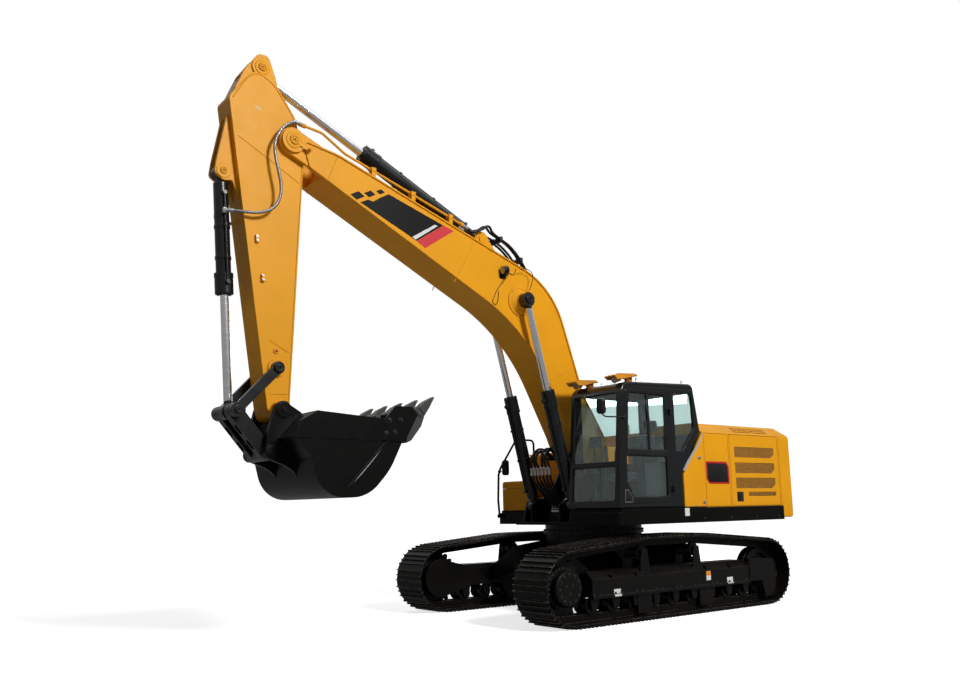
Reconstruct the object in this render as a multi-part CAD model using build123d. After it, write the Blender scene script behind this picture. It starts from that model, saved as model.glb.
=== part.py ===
from build123d import *
import os
from math import acos, asin, atan2, cos, hypot, pi, sin

# Crawler excavator of the thirty-tonne class, parked with its boom raised and
# its bucket curled.  Millimetres.  +X is forward, +Y is the cab side, +Z is up
# and the tracks stand on z = 0.  All pieces are first placed round the slew
# axis, and the last section moves them by slew_x, so that the machine's box is
# centred on the origin.

# ---------------------------------------------------------------- overall
tail_radius = 3230.0          # slew axis to the rear of the counterweight
front_reach = 5950.0          # slew axis to the foremost piece of the linkage
slew_x = (tail_radius - front_reach) / 2
running_gap = 0.05            # radial clearance of a pin in its bore
seat_gap = 0.3                # clearance of a piece that rests in another
side_gap = 5.0                # clearance between pieces that turn past each other

# ---------------------------------------------------------------- crawler
track_gauge = 2590.0          # between the centre lines of the two tracks
shoe_width = 600.0
link_pitch = 203.0
grouser_height = 26.0
shoe_plate = 12.0
rail_half = 52.0              # chain pin line to the rail edge, and to the shoe
rail_inner, rail_outer = 38.0, 88.0   # each chain rail, from the track's centre
pitch_radius = 382.0          # of the chain pins on the sprocket and idler
tread_radius = pitch_radius - rail_half - seat_gap
wheel_z = pitch_radius + rail_half + shoe_plate + grouser_height
sprocket_x, idler_x = 1970.0, -2010.0
carrier_radius = 80.0
carrier_z = 842.0
carrier_places = (550.0, -500.0)
roller_radius = 90.0
roller_z = rail_half * 2 + shoe_plate + grouser_height + roller_radius + seat_gap
roller_count = 9
roller_first, roller_last = -1560.0, 1500.0
sprocket_teeth = 23
drive_radius = 216.0          # final drive cover
frame_top, frame_low, frame_lip = 640.0, 345.0, 320.0
frame_in, frame_out = track_gauge / 2 - 195.0, track_gauge / 2 + 205.0

# ---------------------------------------------------------------- turntable
ring_radius = 700.0
ring_low, ring_top = 1050.0, 1190.0
ring_bore = 450.0
belly_z, body_top = 520.0, ring_low - seat_gap
tow_eye_x, tow_eye_z, tow_eye_radius, tow_eye_plate = 730.0, 600.0, 32.0, 50.0

# ---------------------------------------------------------------- upper deck
deck_low, deck_top = 1197.0, 1403.0
deck_plate = 50.0
nose_drop = 38.0              # the front box of each side deck is lower than its sill
deck_half = 1476.0
deck_rear = 630.0 - tail_radius      # the counterweight hangs behind it
left_front, right_front = 1030.0, 590.0   # front edges of the side decks
frame_half, frame_plate = 600.0, 40.0 # bottom plate of the swing frame
web_in, web_out = 274.0, 308.0        # the two plates that hold the boom foot
housing_top = 2600.0
housing_side = 1450.0
housing_front, housing_rear = -775.0, deck_rear + 6.0
sheet = 25.0                  # sheet-metal panels with their folded edges
panel_gap = 5.0
panel_low = deck_top + 10.0
door_top = 2440.0
shoulder_drop, shoulder_in = 150.0, 185.0     # slanted shoulder of housing and counterweight
shoulder_round = 70.0

# ---------------------------------------------------------------- cab
cab_in, cab_out = 507.0, 1455.0
cab_wall = 45.0
cab_low = deck_top + seat_gap
cab_profile = [               # x, z, corner radius
    (985.0, cab_low, 30.0), (845.0, 3075.0, 170.0), (-620.0, 3130.0, 90.0),
    (-735.0, 2470.0, 60.0), (-310.0, 1880.0, 60.0), (-310.0, cab_low, 20.0)]
door_edge = -55.0             # rear edge of the cab door
door_profile = [
    (872.0, 1470.0, 50.0), (778.0, 2985.0, 60.0), (door_edge, 2985.0, 40.0), (door_edge, 1470.0, 40.0)]
glass = 8.0
glass_inset = 16.0
door_hinge_x, door_hinge_y = -85.0, 1480.0
hinge_radius, hinge_pin = 14.0, 7.0
hinge_heights = (1650.0, 2700.0)

# ---------------------------------------------------------------- pins of the working arm (x, z)
boom_foot = (150.0, 1860.0)
boom_tip = (5016.0, 5810.0)
boom_cylinder_base = (770.0, 1450.0)
boom_cylinder_eye = (1520.0, 4290.0)
arm_cylinder_base = (2070.0, 5130.0)
arm_cylinder_eye = (5378.0, 6675.0)
bucket_pin = (5121.0, 2585.0)
guide_pin = (5165.0, 3067.0)
link_pin = (5651.0, 2563.0)
bucket_link_pin = (5255.0, 2099.0)
bucket_cylinder_base = (5805.0, 5316.0)

foot_pin, tip_pin, bucket_pin_radius, link_pin_radius, cylinder_pin = 55.0, 60.0, 50.0, 45.0, 45.0

boom_half, boom_flange = 250.0, 268.0
flange_plate = 20.0
arm_half = 180.0
ear_in, ear_out = 240.0, 295.0       # bucket ears
guide_in, guide_out = 200.0, 260.0   # guide links
fork_in, fork_out = 205.0, 285.0
boom_cylinder_y = 400.0
valve_ports = (-112.0, -67.0, -22.0, 22.0, 67.0, 112.0)    # unions of the boom's hoses
cylinders = {                 # base, eye, barrel length, bore, barrel, gland, rod radius, eye radius, half width
    "boom": (boom_cylinder_base, boom_cylinder_eye, 1640.0, 85.0, 98.0, 50.0, 100.0, 55.0),
    "arm": (arm_cylinder_base, arm_cylinder_eye, 2045.0, 98.0, 122.0, 56.0, 115.0, 70.0),
    "bucket": (bucket_cylinder_base, link_pin, 1420.0, 85.0, 104.0, 48.0, 95.0, 55.0)}
rod_inside = {"boom": 500.0, "arm": 420.0, "bucket": 290.0}     # rod left in the barrel at rest


# ---------------------------------------------------------------- shape helpers
def wire_of(outline, y=0.0):
    """Closed wire in the XZ plane from (x, z) or (x, z, corner radius) rows."""
    points = [(row[0], y, row[1]) for row in outline]
    if len(outline[0]) == 3:
        return FilletPolyline(*points, radius=[row[2] for row in outline], close=True)
    return Polyline(*points, close=True)


def plate(outline, y_low, y_high):
    """Plate with its outline in XZ, between two heights along Y."""
    return extrude(make_face(wire_of(outline, y_low)), y_high - y_low, dir=(0, 1, 0))


def inset_plate(outline, inset, y_low, y_high):
    """The same plate with its outline moved inwards."""
    face = offset(make_face(wire_of(outline, y_low)), amount=-inset)
    return extrude(face, y_high - y_low, dir=(0, 1, 0))


def disc(centre, radius, y_low, y_high):
    """Round piece along Y at an (x, z) centre."""
    middle = (y_low + y_high) / 2
    return Pos(centre[0], middle, centre[1]) * Cylinder(radius, y_high - y_low, rotation=(90, 0, 0))


def cone(centre, radius_low, radius_high, y_low, y_high):
    """Round piece along Y that narrows outwards."""
    middle = (y_low + y_high) / 2
    return Pos(centre[0], middle, centre[1]) * Cone(radius_low, radius_high, y_high - y_low,
                                                    rotation=(-90, 0, 0))


def block(x_low, x_high, y_low, y_high, z_low, z_high):
    centre = ((x_low + x_high) / 2, (y_low + y_high) / 2, (z_low + z_high) / 2)
    return Pos(*centre) * Box(x_high - x_low, y_high - y_low, z_high - z_low)


def rod(start, end, radius):
    """Straight round bar between two points."""
    line = Vector(*end) - Vector(*start)
    return extrude(Plane(origin=start, z_dir=line) * Circle(radius), line.length)


def tube(points, bends, radius):
    """Round tube along straight runs joined by arcs."""
    path = FilletPolyline(*points, radius=bends)
    start = Plane(origin=points[0], z_dir=Vector(*points[1]) - Vector(*points[0]))
    return sweep(start * Circle(radius), path)


def both_sides(piece):
    return piece + mirror(piece, about=Plane.XZ)


def strap(ends, y_low, y_high):
    """Link with round ends: two (centre, radius) rows and their tangents."""
    (first, r1), (second, r2) = ends
    along = atan2(second[1] - first[1], second[0] - first[0])
    lean = acos((r1 - r2) / hypot(second[0] - first[0], second[1] - first[1]))
    sides = [(along + lean), (along - lean)]
    corners = [(c[0] + r * cos(a), c[1] + r * sin(a))
               for c, r, a in ((first, r1, sides[0]), (second, r2, sides[0]),
                               (second, r2, sides[1]), (first, r1, sides[1]))]
    web = plate(corners, y_low, y_high)
    return web + disc(first, r1, y_low, y_high) + disc(second, r2, y_low, y_high)


def along_line(start, end, distance):
    """Point at a distance from start towards end, in XZ."""
    length = hypot(end[0] - start[0], end[1] - start[1])
    return tuple(a + (b - a) * distance / length for a, b in zip(start, end))


def direction(start, end):
    length = hypot(end[0] - start[0], end[1] - start[1])
    return (end[0] - start[0]) / length, (end[1] - start[1]) / length


# ---------------------------------------------------------------- track path
def belt(circles):
    """Runs of a belt round circles given anticlockwise in XZ as (x, z, radius)."""
    normals = []
    for first, second in zip(circles, circles[1:] + circles[:1]):
        dx, dz = second[0] - first[0], second[1] - first[1]
        normals.append(atan2(dz, dx) - pi / 2 + asin((first[2] - second[2]) / hypot(dx, dz)))
    runs = []
    for i, (x, z, r) in enumerate(circles):
        turn = (normals[i] - normals[i - 1]) % (2 * pi)
        runs.append(("arc", (x, z), r, normals[i - 1], turn))
        start = (x + r * cos(normals[i]), z + r * sin(normals[i]))
        x2, z2, r2 = circles[(i + 1) % len(circles)]
        end = (x2 + r2 * cos(normals[i]), z2 + r2 * sin(normals[i]))
        runs.append(("line", start, end))
    return runs


def run_length(run):
    if run[0] == "arc":
        return run[2] * run[4]
    return hypot(run[2][0] - run[1][0], run[2][1] - run[1][1])


def belt_point(runs, distance):
    distance %= sum(run_length(run) for run in runs)
    for run in runs:
        if distance <= run_length(run):
            break
        distance -= run_length(run)
    if run[0] == "arc":
        angle = run[3] + distance / run[2]
        return run[1][0] + run[2] * cos(angle), run[1][1] + run[2] * sin(angle)
    return along_line(run[1], run[2], distance)


def belt_face(runs, y, shift):
    """Face inside the belt moved outwards by shift, at height y."""
    edges = []
    for run in runs:
        if run[0] == "arc":
            (x, z), r = run[1], run[2] + shift
            ends = [(x + r * cos(a), y, z + r * sin(a)) for a in
                    (run[3], run[3] + run[4] / 2, run[3] + run[4])]
            edges.append(ThreePointArc(*ends))
        else:
            dx, dz = direction(run[1], run[2])
            start, end = [(p[0] + dz * shift, y, p[1] - dx * shift) for p in run[1:]]
            edges.append(Line(start, end))
    return make_face(Wire(edges))


pin_belt = belt([(idler_x, wheel_z, pitch_radius), (sprocket_x, wheel_z, pitch_radius)]
                + [(x, carrier_z, carrier_radius + seat_gap + rail_half) for x in carrier_places])
belt_length = sum(run_length(run) for run in pin_belt)
shoe_count = round(belt_length / link_pitch)


def shoe_outline():
    """Outer edge of all shoes in turn, each with three grousers."""
    tips = [(-0.40, 0.0), (-0.37, 1.0), (-0.33, 1.0), (-0.30, 0.0), (-0.05, 0.0), (-0.02, 1.0),
            (0.02, 1.0), (0.05, 0.0), (0.30, 0.0), (0.33, 1.0), (0.37, 1.0), (0.40, 0.0)]
    step = belt_length / shoe_count
    rows = []
    for i in range(shoe_count):
        start, end = belt_point(pin_belt, i * step), belt_point(pin_belt, (i + 1) * step)
        dx, dz = direction(start, end)
        middle = ((start[0] + end[0]) / 2, (start[1] + end[1]) / 2)
        for share, height in tips:
            out = rail_half + shoe_plate + height * grouser_height
            rows.append((middle[0] + dx * share * step + dz * out,
                         middle[1] + dz * share * step - dx * out))
    return rows


def track():
    """Left track: one closed loop of shoes on two chain rails."""
    centre = track_gauge / 2
    outer = make_face(wire_of(shoe_outline(), centre - shoe_width / 2))
    inner = belt_face(pin_belt, centre - shoe_width / 2, rail_half - 14.0)
    loop = extrude(outer - inner, shoe_width, dir=(0, 1, 0))
    for side in (-1, 1):
        low = centre + (rail_inner if side > 0 else -rail_outer)
        ring = belt_face(pin_belt, low, rail_half - 8.0) - belt_face(pin_belt, low, -rail_half)
        loop += extrude(ring, rail_outer - rail_inner, dir=(0, 1, 0))
    return loop


# ---------------------------------------------------------------- undercarriage
def sprocket():
    """Toothed rim, hub and round final drive cover, left side."""
    centre = track_gauge / 2
    root, tip = pitch_radius - 42.0, pitch_radius + 8.0
    step = 2 * pi / sprocket_teeth
    rows = []
    for i in range(sprocket_teeth):
        for share, radius in ((-0.36, root), (-0.14, tip), (0.14, tip), (0.36, root)):
            angle = (i + share) * step
            rows.append((sprocket_x + radius * cos(angle), wheel_z + radius * sin(angle)))
    rim = plate(rows, centre - 30.0, centre + 30.0)
    where = (sprocket_x, wheel_z)
    drum = disc(where, 250.0, centre + 30.0, centre + 110.0)
    cover = disc(where, drive_radius, centre + 110.0, centre + 225.0)
    cover = chamfer(cover.edges().group_by(Axis.Y)[-1], 18.0)
    motor = disc(where, 235.0, frame_in + 85.0, centre - 30.0)
    return rim + drum + cover + motor


def idler():
    """Two treads with a middle flange between the chain rails, and its axle."""
    centre = track_gauge / 2
    where = (idler_x, wheel_z)
    flange = disc(where, tread_radius + 20.0, centre - rail_inner + 2.0, centre + rail_inner - 2.0)
    tread = disc(where, tread_radius, centre - rail_outer, centre + rail_outer)
    dish = disc(where, 250.0, centre + 45.0, centre + rail_outer)
    dish += disc(where, 250.0, centre - rail_outer, centre - 45.0)
    hub = disc(where, 95.0, centre - 140.0, centre + 140.0)
    return flange + tread - dish + hub


def roller(x, z, radius, half_axle):
    centre = track_gauge / 2
    piece = disc((x, z), radius, centre - rail_outer, centre + rail_outer)
    for side in (-1, 1):
        low = centre + side * (rail_outer + 2.0) - (0 if side > 0 else 18.0)
        piece += disc((x, z), radius * 1.16, low, low + 18.0)
    piece -= disc((x, z), radius * 2, centre - rail_inner, centre + rail_inner) \
        - disc((x, z), radius * 0.8, centre - rail_inner, centre + rail_inner)
    return piece + disc((x, z), radius * 0.42, centre - half_axle, centre + half_axle)


roller_places = [roller_first + i * (roller_last - roller_first) / (roller_count - 1)
                 for i in range(roller_count)]
guard_in = rail_outer + 52.0          # roller guards, from the track's centre
guard_out = guard_in + 22.0


def rollers():
    centre = guard_in - seat_gap
    pieces = [roller(x, roller_z, roller_radius, centre) for x in roller_places]
    pieces += [roller(x, carrier_z, carrier_radius, centre) for x in carrier_places]
    return Part() + pieces


guard_places, guard_low = (600.0, -640.0), 84.0
top_notches = ((1230.0, 60.0), (760.0, 40.0), (-640.0, 45.0), (-1150.0, 40.0))


def idler_guard():
    """Outer cover plate of the idler, bent off the side beam."""
    rows = [(-1600.0, frame_top + 22.0, 20.0), (-2185.0, frame_top, 30.0), (-2230.0, 390.0, 30.0),
            (-2165.0, 118.0, 30.0), (-1950.0, 96.0, 30.0), (-1880.0, frame_low, 30.0), (-1600.0, frame_low, 5.0)]
    return plate(rows, frame_out - 6.0, frame_out + 10.0) \
        + plate([(-1600.0, frame_top + 6.0), (-2180.0, frame_top - 16.0), (-2180.0, frame_top - 2.0),
                 (-1600.0, frame_top + 21.0)], frame_out - 100.0, frame_out)


def track_frame():
    """Boxed side beam with roller guards, carrier brackets, idler yoke and drive plate."""
    centre = track_gauge / 2
    beam_rear, beam_front = idler_x + 420.0, sprocket_x - 400.0
    section = [(frame_in, frame_low), (frame_out, frame_low), (frame_out, frame_top - 85.0),
               (frame_out - 95.0, frame_top), (frame_in + 60.0, frame_top), (frame_in, frame_top - 60.0)]
    face = make_face(Polyline(*[(beam_rear, y, z) for y, z in section], close=True))
    frame = extrude(face, beam_front - beam_rear, dir=(1, 0, 0))
    frame += block(beam_rear, beam_front, frame_out - 16.0, frame_out + 14.0, frame_lip, frame_low + 12.0)
    for x, width in top_notches:
        frame -= block(x - width / 2, x + width / 2, frame_out - 70.0, frame_out + 1.0, frame_top - 85.0, frame_top)
    frame += idler_guard()
    for side in (-1, 1):
        low = min(centre + side * guard_in, centre + side * guard_out)
        high = low + guard_out - guard_in
        for x in roller_places:
            frame += plate([(x - 75.0, frame_low + 2.0), (x - 42.0, roller_z - 45.0), (x + 42.0, roller_z - 45.0),
                            (x + 75.0, frame_low + 2.0)], low, high)
        for x in guard_places:
            frame += plate([(x - 135.0, frame_low + 2.0), (x - 128.0, guard_low), (x + 128.0, guard_low),
                            (x + 135.0, frame_low + 2.0)], low, high + (12.0 if side > 0 else 0.0))
        # idler yoke, open to the rear, and the plate behind the final drive
        low = min(centre + side * 142.0, centre + side * 200.0)
        frame += plate([(beam_rear, frame_low + 20.0), (idler_x - 120.0, wheel_z - 75.0),
                        (idler_x - 120.0, wheel_z + 75.0), (beam_rear, frame_top - 20.0)],
                       low, low + 58.0)
        frame -= disc((idler_x, wheel_z), 95.0 + seat_gap, centre - 141.0, centre + 141.0)
        for x in carrier_places:
            frame += plate([(x - 95.0, frame_top - 70.0), (x - 48.0, carrier_z + 42.0),
                            (x + 48.0, carrier_z + 42.0), (x + 95.0, frame_top - 70.0)],
                           min(centre + side * guard_in, centre + side * guard_out),
                           max(centre + side * guard_in, centre + side * guard_out))
    drive = strap([((sprocket_x, wheel_z), 265.0), ((beam_front - 40.0, wheel_z), 150.0)],
                  frame_in, frame_in + 85.0 - seat_gap)
    return frame + drive


def car_body():
    """Welded middle with its round turntable seat and four box legs."""
    body = Cylinder(ring_radius - 10.0, body_top - belly_z - 130.0)
    body = Pos(0, 0, (body_top + belly_z + 130.0) / 2) * body
    body += block(-640.0, 640.0, -640.0, 640.0, belly_z, body_top - 260.0)
    for front in (-1, 1):
        low, high = sorted((front * 330.0, front * 1120.0))
        inner = make_face(Polyline((low, 500.0, belly_z), (high, 500.0, belly_z),
                                   (high, 500.0, body_top - 150.0), (low, 500.0, body_top - 60.0),
                                   close=True))
        outer = make_face(Polyline((low + 60.0, frame_in, frame_low + 45.0),
                                   (high - 20.0, frame_in, frame_low + 45.0),
                                   (high - 20.0, frame_in, frame_top - 75.0),
                                   (low + 60.0, frame_in, frame_top - 75.0), close=True))
        body += both_sides(loft([inner, outer]))
        low, high = sorted((front * 600.0, front * tow_eye_x))
        eye = Pos(front * tow_eye_x, 0, tow_eye_z)
        lug = block(low, high, -75.0, 75.0, tow_eye_z - tow_eye_plate / 2, tow_eye_z + tow_eye_plate / 2)
        body += lug + eye * Cylinder(75.0, tow_eye_plate)
        body -= eye * Cylinder(tow_eye_radius, tow_eye_plate + 2.0)
    return body


def slew_ring():
    ring = Cylinder(ring_radius, ring_top - ring_low)
    ring += Pos(0, 0, -35.0) * Cylinder(ring_radius + 25.0, 46.0)
    ring -= Cylinder(ring_bore, ring_top)
    return Pos(0, 0, (ring_top + ring_low) / 2) * ring


# ---------------------------------------------------------------- deck
def swing_frame():
    """Bottom plate, two webs with the boom foot's bosses, and the boom cylinder feet."""
    frame = block(deck_rear, left_front - 60.0, -frame_half, frame_half, deck_low, deck_low + frame_plate)
    frame += Pos(0, 0, (deck_low + ring_top) / 2) * Cylinder(ring_radius - 60.0, deck_low - ring_top)
    web = [(deck_rear, deck_low), (deck_rear, 1560.0), (-1150.0, 1600.0), (-420.0, 1930.0),
           (-60.0, 2050.0), (330.0, 2000.0), (560.0, 1640.0), (940.0, 1480.0), (940.0, deck_low)]
    foot = plate(web, web_in, web_out)
    foot += disc(boom_foot, 190.0, web_in, web_out + 30.0)
    foot += disc(boom_foot, 90.0, web_out, web_out + 50.0)
    foot += disc(boom_foot, foot_pin, 0.0, web_out + 60.0)
    # cylinder foot: boss on the web, pin, and an outer lug
    eye_half = cylinders["boom"][7]
    eye_in, eye_out = boom_cylinder_y - eye_half - side_gap, boom_cylinder_y + eye_half + side_gap
    x, z = boom_cylinder_base
    foot += disc(boom_cylinder_base, 115.0, web_in, eye_in)
    foot += disc(boom_cylinder_base, cylinder_pin, eye_in, eye_out)
    valves = block(540.0, 760.0, -150.0, 150.0, deck_low + frame_plate - 1.0, deck_low + 150.0)
    valves = chamfer(valves.edges().group_by(Axis.Z)[-1], 12.0)
    for y in valve_ports:
        valves += Pos(690.0, y, deck_low + 160.0) * Cylinder(24.0, 30.0)
    frame += valves
    lug = [(x - 150.0, deck_low), (x - 105.0, z), (x - 75.0, z + 82.0), (x, z + 115.0),
           (x + 75.0, z + 82.0), (x + 105.0, z), (x + 170.0, deck_low)]
    foot += plate(lug, eye_out, eye_out + 34.0)
    return frame + both_sides(foot)


def deck(front, side):
    """Side deck with its round-edged sill; side is +1 on the cab side."""
    inner, outer = web_out, deck_half
    sill = block(deck_rear, front, outer - 110.0, outer, deck_low, deck_top)
    nose = block(front - 110.0, front, frame_half + 2.0, outer, deck_low, deck_top - nose_drop)
    sill -= block(front - 75.0, front + 1.0, outer - 111.0, outer + 1.0, deck_top - nose_drop, deck_top + 1.0)
    rim = sill + nose
    upright = [e for e in rim.edges().filter_by(Axis.Z)
               if abs(e.center().X - front) < 1 and abs(e.center().Y - outer) < 1]
    rim = fillet(upright, 60.0)
    floor = block(deck_rear, front - 100.0, inner + 190.0, outer - 100.0, deck_top - deck_plate, deck_top)
    floor += block(deck_rear, 560.0, inner, inner + 190.0, deck_top - deck_plate, deck_top)
    for x in (deck_rear + 300.0, -1500.0, -700.0, 100.0):
        floor += block(x, x + 90.0, inner, outer - 100.0, deck_low + frame_plate, deck_top - 10.0)
    piece = rim + floor
    return piece if side > 0 else mirror(piece, about=Plane.XZ)


# ---------------------------------------------------------------- counterweight and housing
def counterweight():
    """Cast block with its rear face on the tail radius, slanted shoulders and lifting eyes."""
    low, knee = deck_low + 30.0, housing_top - shoulder_drop
    rows = [(1500.0, low), (tail_radius, low), (tail_radius, knee), (tail_radius - shoulder_in, housing_top),
            (1500.0, housing_top)]
    body = revolve(make_face(wire_of(rows)), Axis.Z)
    body &= housing_prism(0.0, low - 20.0, -tail_radius - 100.0, deck_rear - seat_gap)
    for z, corner in ((low, 50.0), (knee, shoulder_round), (housing_top, 25.0)):
        rim = [e for e in body.edges().filter_by(GeomType.CIRCLE) if e.length > 1500.0 and abs(e.center().Z - z) < 1.0]
        body = fillet(rim, corner)
    eye = (deck_rear - 210.0, housing_top)
    for y in (-650.0, 650.0):
        body += disc(eye, 62.0, y - 18.0, y + 18.0) - disc((eye[0], eye[1] + 14.0), 26.0, y - 19.0, y + 19.0)
    return body


def housing_section(inset, z_low):
    """Cross-section of the engine housing in YZ, with slanted shoulders."""
    side, top, brow = housing_side - inset, housing_top - inset, housing_side - shoulder_in - inset * 0.6
    knee, curve = housing_top - shoulder_drop - inset * 0.6, shoulder_round - inset
    half = [(side, z_low, 0.1), (side, knee, curve), (brow, top, curve)]
    return half + [(-y, z, r) for y, z, r in reversed(half)]


def housing_prism(inset, z_low, x_low, x_high):
    rows = housing_section(inset, z_low)
    line = FilletPolyline(*[(x_low, y, z) for y, z, r in rows], radius=[r for y, z, r in rows], close=True)
    return extrude(make_face(line), x_high - x_low, dir=(1, 0, 0))


# door and lid edges along X, from rear to front
badge_door = (-1350.0, -805.0)
grille_door = (housing_rear + sheet, -1390.0)
pump_door = (housing_rear + sheet, -1445.0)
engine_lid_edges = (deck_rear + 150.0, -1520.0)
engine_rear, engine_front = deck_rear + 250.0, -1600.0
engine_low, engine_top = 1605.0, 2330.0
lid_half = 950.0
short_front = -1430.0         # the housing is shorter on the tank side
valley_y = 568.0              # the longer cab side of the housing starts here
knuckle, knuckle_pin, knuckle_length = 9.0, 4.0, 60.0


def hinge_line(start, along):
    """Door eye at a point, its pin hole, the fixed eye with its pin, and the room that each eye turns in."""
    def at(distance):
        return tuple(p + a * distance for p, a in zip(start, along))
    door_eye = rod(at(0.0), at(knuckle_length), knuckle)
    pin_hole = rod(at(-1.0), at(knuckle_length * 0.7), knuckle_pin + running_gap)
    fixed_eye = rod(at(-knuckle_length), at(-2.0), knuckle) \
        + rod(at(-3.0), at(knuckle_length * 0.7 - 2.0), knuckle_pin)
    door_room = rod(at(-2.0), at(knuckle_length + 2.0), knuckle + 1.5)
    fixed_room = rod(at(-knuckle_length - 2.0), at(0.0), knuckle + 1.5)
    return door_eye, pin_hole, fixed_eye, door_room, fixed_room


def hang(frame, door, starts, along):
    """Put hinges between a fixed frame and its door."""
    for start in starts:
        door_eye, pin_hole, fixed_eye, door_room, fixed_room = hinge_line(start, along)
        frame = frame - door_room + fixed_eye
        door = door - fixed_room + door_eye - pin_hole
    return frame, door


shoulder_grille = (-2400.0, -1560.0)
door_grilles = (2190.0, 1960.0, 1740.0)       # middle heights of the doors' three grilles
grille_inset = 5.0            # depth of the field that each grille lies in
grille_rows, row_pitch, row_height = 6, 23.0, 9.0
low_grille = 1580.0


def slots(x_low, x_high, side, z, height, count):
    """Row of long slots through the housing's side wall."""
    pitch = (x_high - x_low) / count
    y_low, y_high = sorted((side * (housing_side - shoulder_in - 30.0), side * (housing_side + 1.0)))
    return Part() + [block(x_low + i * pitch + 8.0, x_low + (i + 1) * pitch - 8.0, y_low, y_high,
                           z - height / 2, z + height / 2) for i in range(count)]


def door_grille(x_low, x_high, z, rows, clip):
    """Shallow field with one clipped corner, and the rows of slots inside it, on the cab side."""
    half = rows * row_pitch / 2 + 8.0
    field = [(x_low + clip * 1.4, z - half), (x_low, z - half + clip), (x_low, z + half),
             (x_high, z + half), (x_high, z - half)]
    cut = plate(field, housing_side - grille_inset, housing_side + 1.0)
    for i in range(rows):
        height = z + (i - (rows - 1) / 2) * row_pitch
        rear = x_low + (clip * 1.4 if i < rows / 2 else 0.0)
        cut += slots(rear + 10.0, x_high - 10.0, 1, height, row_height, 5)
    return cut


def housing_shell():
    """Sheet-metal shell of the engine bay, shorter on the tank side, with its openings."""
    shell = housing_prism(0.0, deck_top, housing_rear, housing_front)
    room = housing_prism(sheet, deck_top - 50.0, housing_rear - 10.0, short_front - sheet)
    room += housing_prism(sheet, deck_top - 50.0, short_front - sheet - 1.0, housing_front - sheet) \
        & block(-3000.0, 0.0, valley_y + sheet, 2000.0, 0.0, 3000.0)
    shell -= block(short_front, 0.0, -2000.0, valley_y, 0.0, 3000.0)
    shell -= room
    shell -= block(short_front - sheet - 1.0, short_front + 1.0, -web_out - 10.0, valley_y + sheet,
                   0.0, 1610.0)
    for low, high in (badge_door, grille_door):
        shell -= block(low - panel_gap, high + panel_gap, housing_side - 60.0, housing_side + 10.0,
                       panel_low - panel_gap, door_top + panel_gap)
    shell -= block(pump_door[0] - panel_gap, pump_door[1] + panel_gap, -housing_side - 10.0,
                   -housing_side + 60.0, panel_low - panel_gap, door_top + panel_gap)
    rear, front = engine_lid_edges
    shell -= block(rear - panel_gap, front + panel_gap, -lid_half - panel_gap, lid_half + panel_gap,
                   housing_top - 60.0, housing_top + 10.0)
    corner = [(-325.0, panel_low), (-325.0, 1850.0), (-765.0, 2440.0), (housing_front, 2440.0),
              (housing_front, panel_low)]
    shell += plate(corner, housing_side - sheet, housing_side)
    knee = housing_top - shoulder_drop
    for side in (-1, 1):
        for z in (knee + 38.0, knee + 66.0, knee + 94.0):
            shell -= slots(shoulder_grille[0], shoulder_grille[1], side, z, 10.0, 6)
    return shell


def folded_panel(x_low, x_high):
    """Cab-side door panel: a skin with its edges folded in."""
    skin = block(x_low, x_high, housing_side - sheet, housing_side, panel_low, door_top)
    skin = fillet(skin.edges().filter_by(Axis.Y), 15.0)
    return skin - block(x_low + 40.0, x_high - 40.0, housing_side - sheet - 1.0, housing_side - 8.0,
                        panel_low + 40.0, door_top - 40.0)


def engine_lid():
    rear, front = engine_lid_edges
    top = block(rear, front, -lid_half, lid_half, housing_top - sheet, housing_top)
    for y in (-620.0, 620.0):
        for i in range(8):
            x = rear + 190.0 + i * 70.0
            top -= block(x, x + 18.0, y - 210.0, y + 210.0, housing_top - sheet, housing_top + 1.0)
    return top - block(rear + 40.0, front - 40.0, -lid_half + 40.0, lid_half - 40.0,
                       housing_top - sheet - 1.0, housing_top - 8.0)


def housing_and_doors():
    shell = housing_shell()
    doors = {}
    for name, (low, high), side in (("left_front_door", badge_door, 1), ("left_rear_door", grille_door, 1),
                                    ("right_rear_door", pump_door, -1)):
        panel = folded_panel(low, high)
        if name != "left_front_door":
            rear, front = low + 105.0, high - 105.0
            for z in door_grilles:
                panel -= door_grille(rear, front, z, grille_rows, 62.0)
            panel -= door_grille(rear, front - 290.0, low_grille, 2, 22.0)
        if side < 0:
            panel = mirror(panel, about=Plane.XZ)
        starts = [(low - panel_gap / 2, side * housing_side, z) for z in (panel_low + 120.0, door_top - 180.0)]
        shell, doors[name] = hang(shell, panel, starts, (0, 0, 1))
    starts = [(engine_lid_edges[0] - panel_gap / 2, y, housing_top) for y in (-700.0, 640.0)]
    shell, doors["engine_lid"] = hang(shell, engine_lid(), starts, (0, 1, 0))
    doors["engine_housing"] = shell
    return doors


def engine_block():
    """Engine and gearbox as one plain heavy block on its sump."""
    return block(engine_rear, engine_front, -600.0, 600.0, engine_low, engine_top) \
        + block(engine_rear + 100.0, engine_front - 100.0, -250.0, 250.0,
                deck_low + frame_plate + seat_gap, engine_low + 1.0)


def exhaust():
    x, y = engine_rear + 300.0, -1150.0
    base = housing_top + seat_gap
    stub = rod((x, y, base), (x, y, base + 230.0), 65.0) + rod((x, y, base), (x, y, base + 12.0), 95.0)
    return stub - rod((x, y, base + 60.0), (x, y, base + 260.0), 57.0)


# ---------------------------------------------------------------- tanks and tool box
tank_rear, tank_front = -800.0, 10.0
tank_top = 2290.0
box_rear, box_front, box_top = 45.0, 545.0, 1850.0
box_seam = 1735.0
right_in, right_out = -500.0, -1430.0     # tanks, across the machine
box_in = -700.0


def rounded_box(x_low, x_high, y_low, y_high, z_low, z_high, corner):
    body = block(x_low, x_high, y_low, y_high, z_low, z_high)
    keep = [e for e in body.edges() if e.center().Z > z_low + 1.0]
    return fillet(keep, corner)


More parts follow.
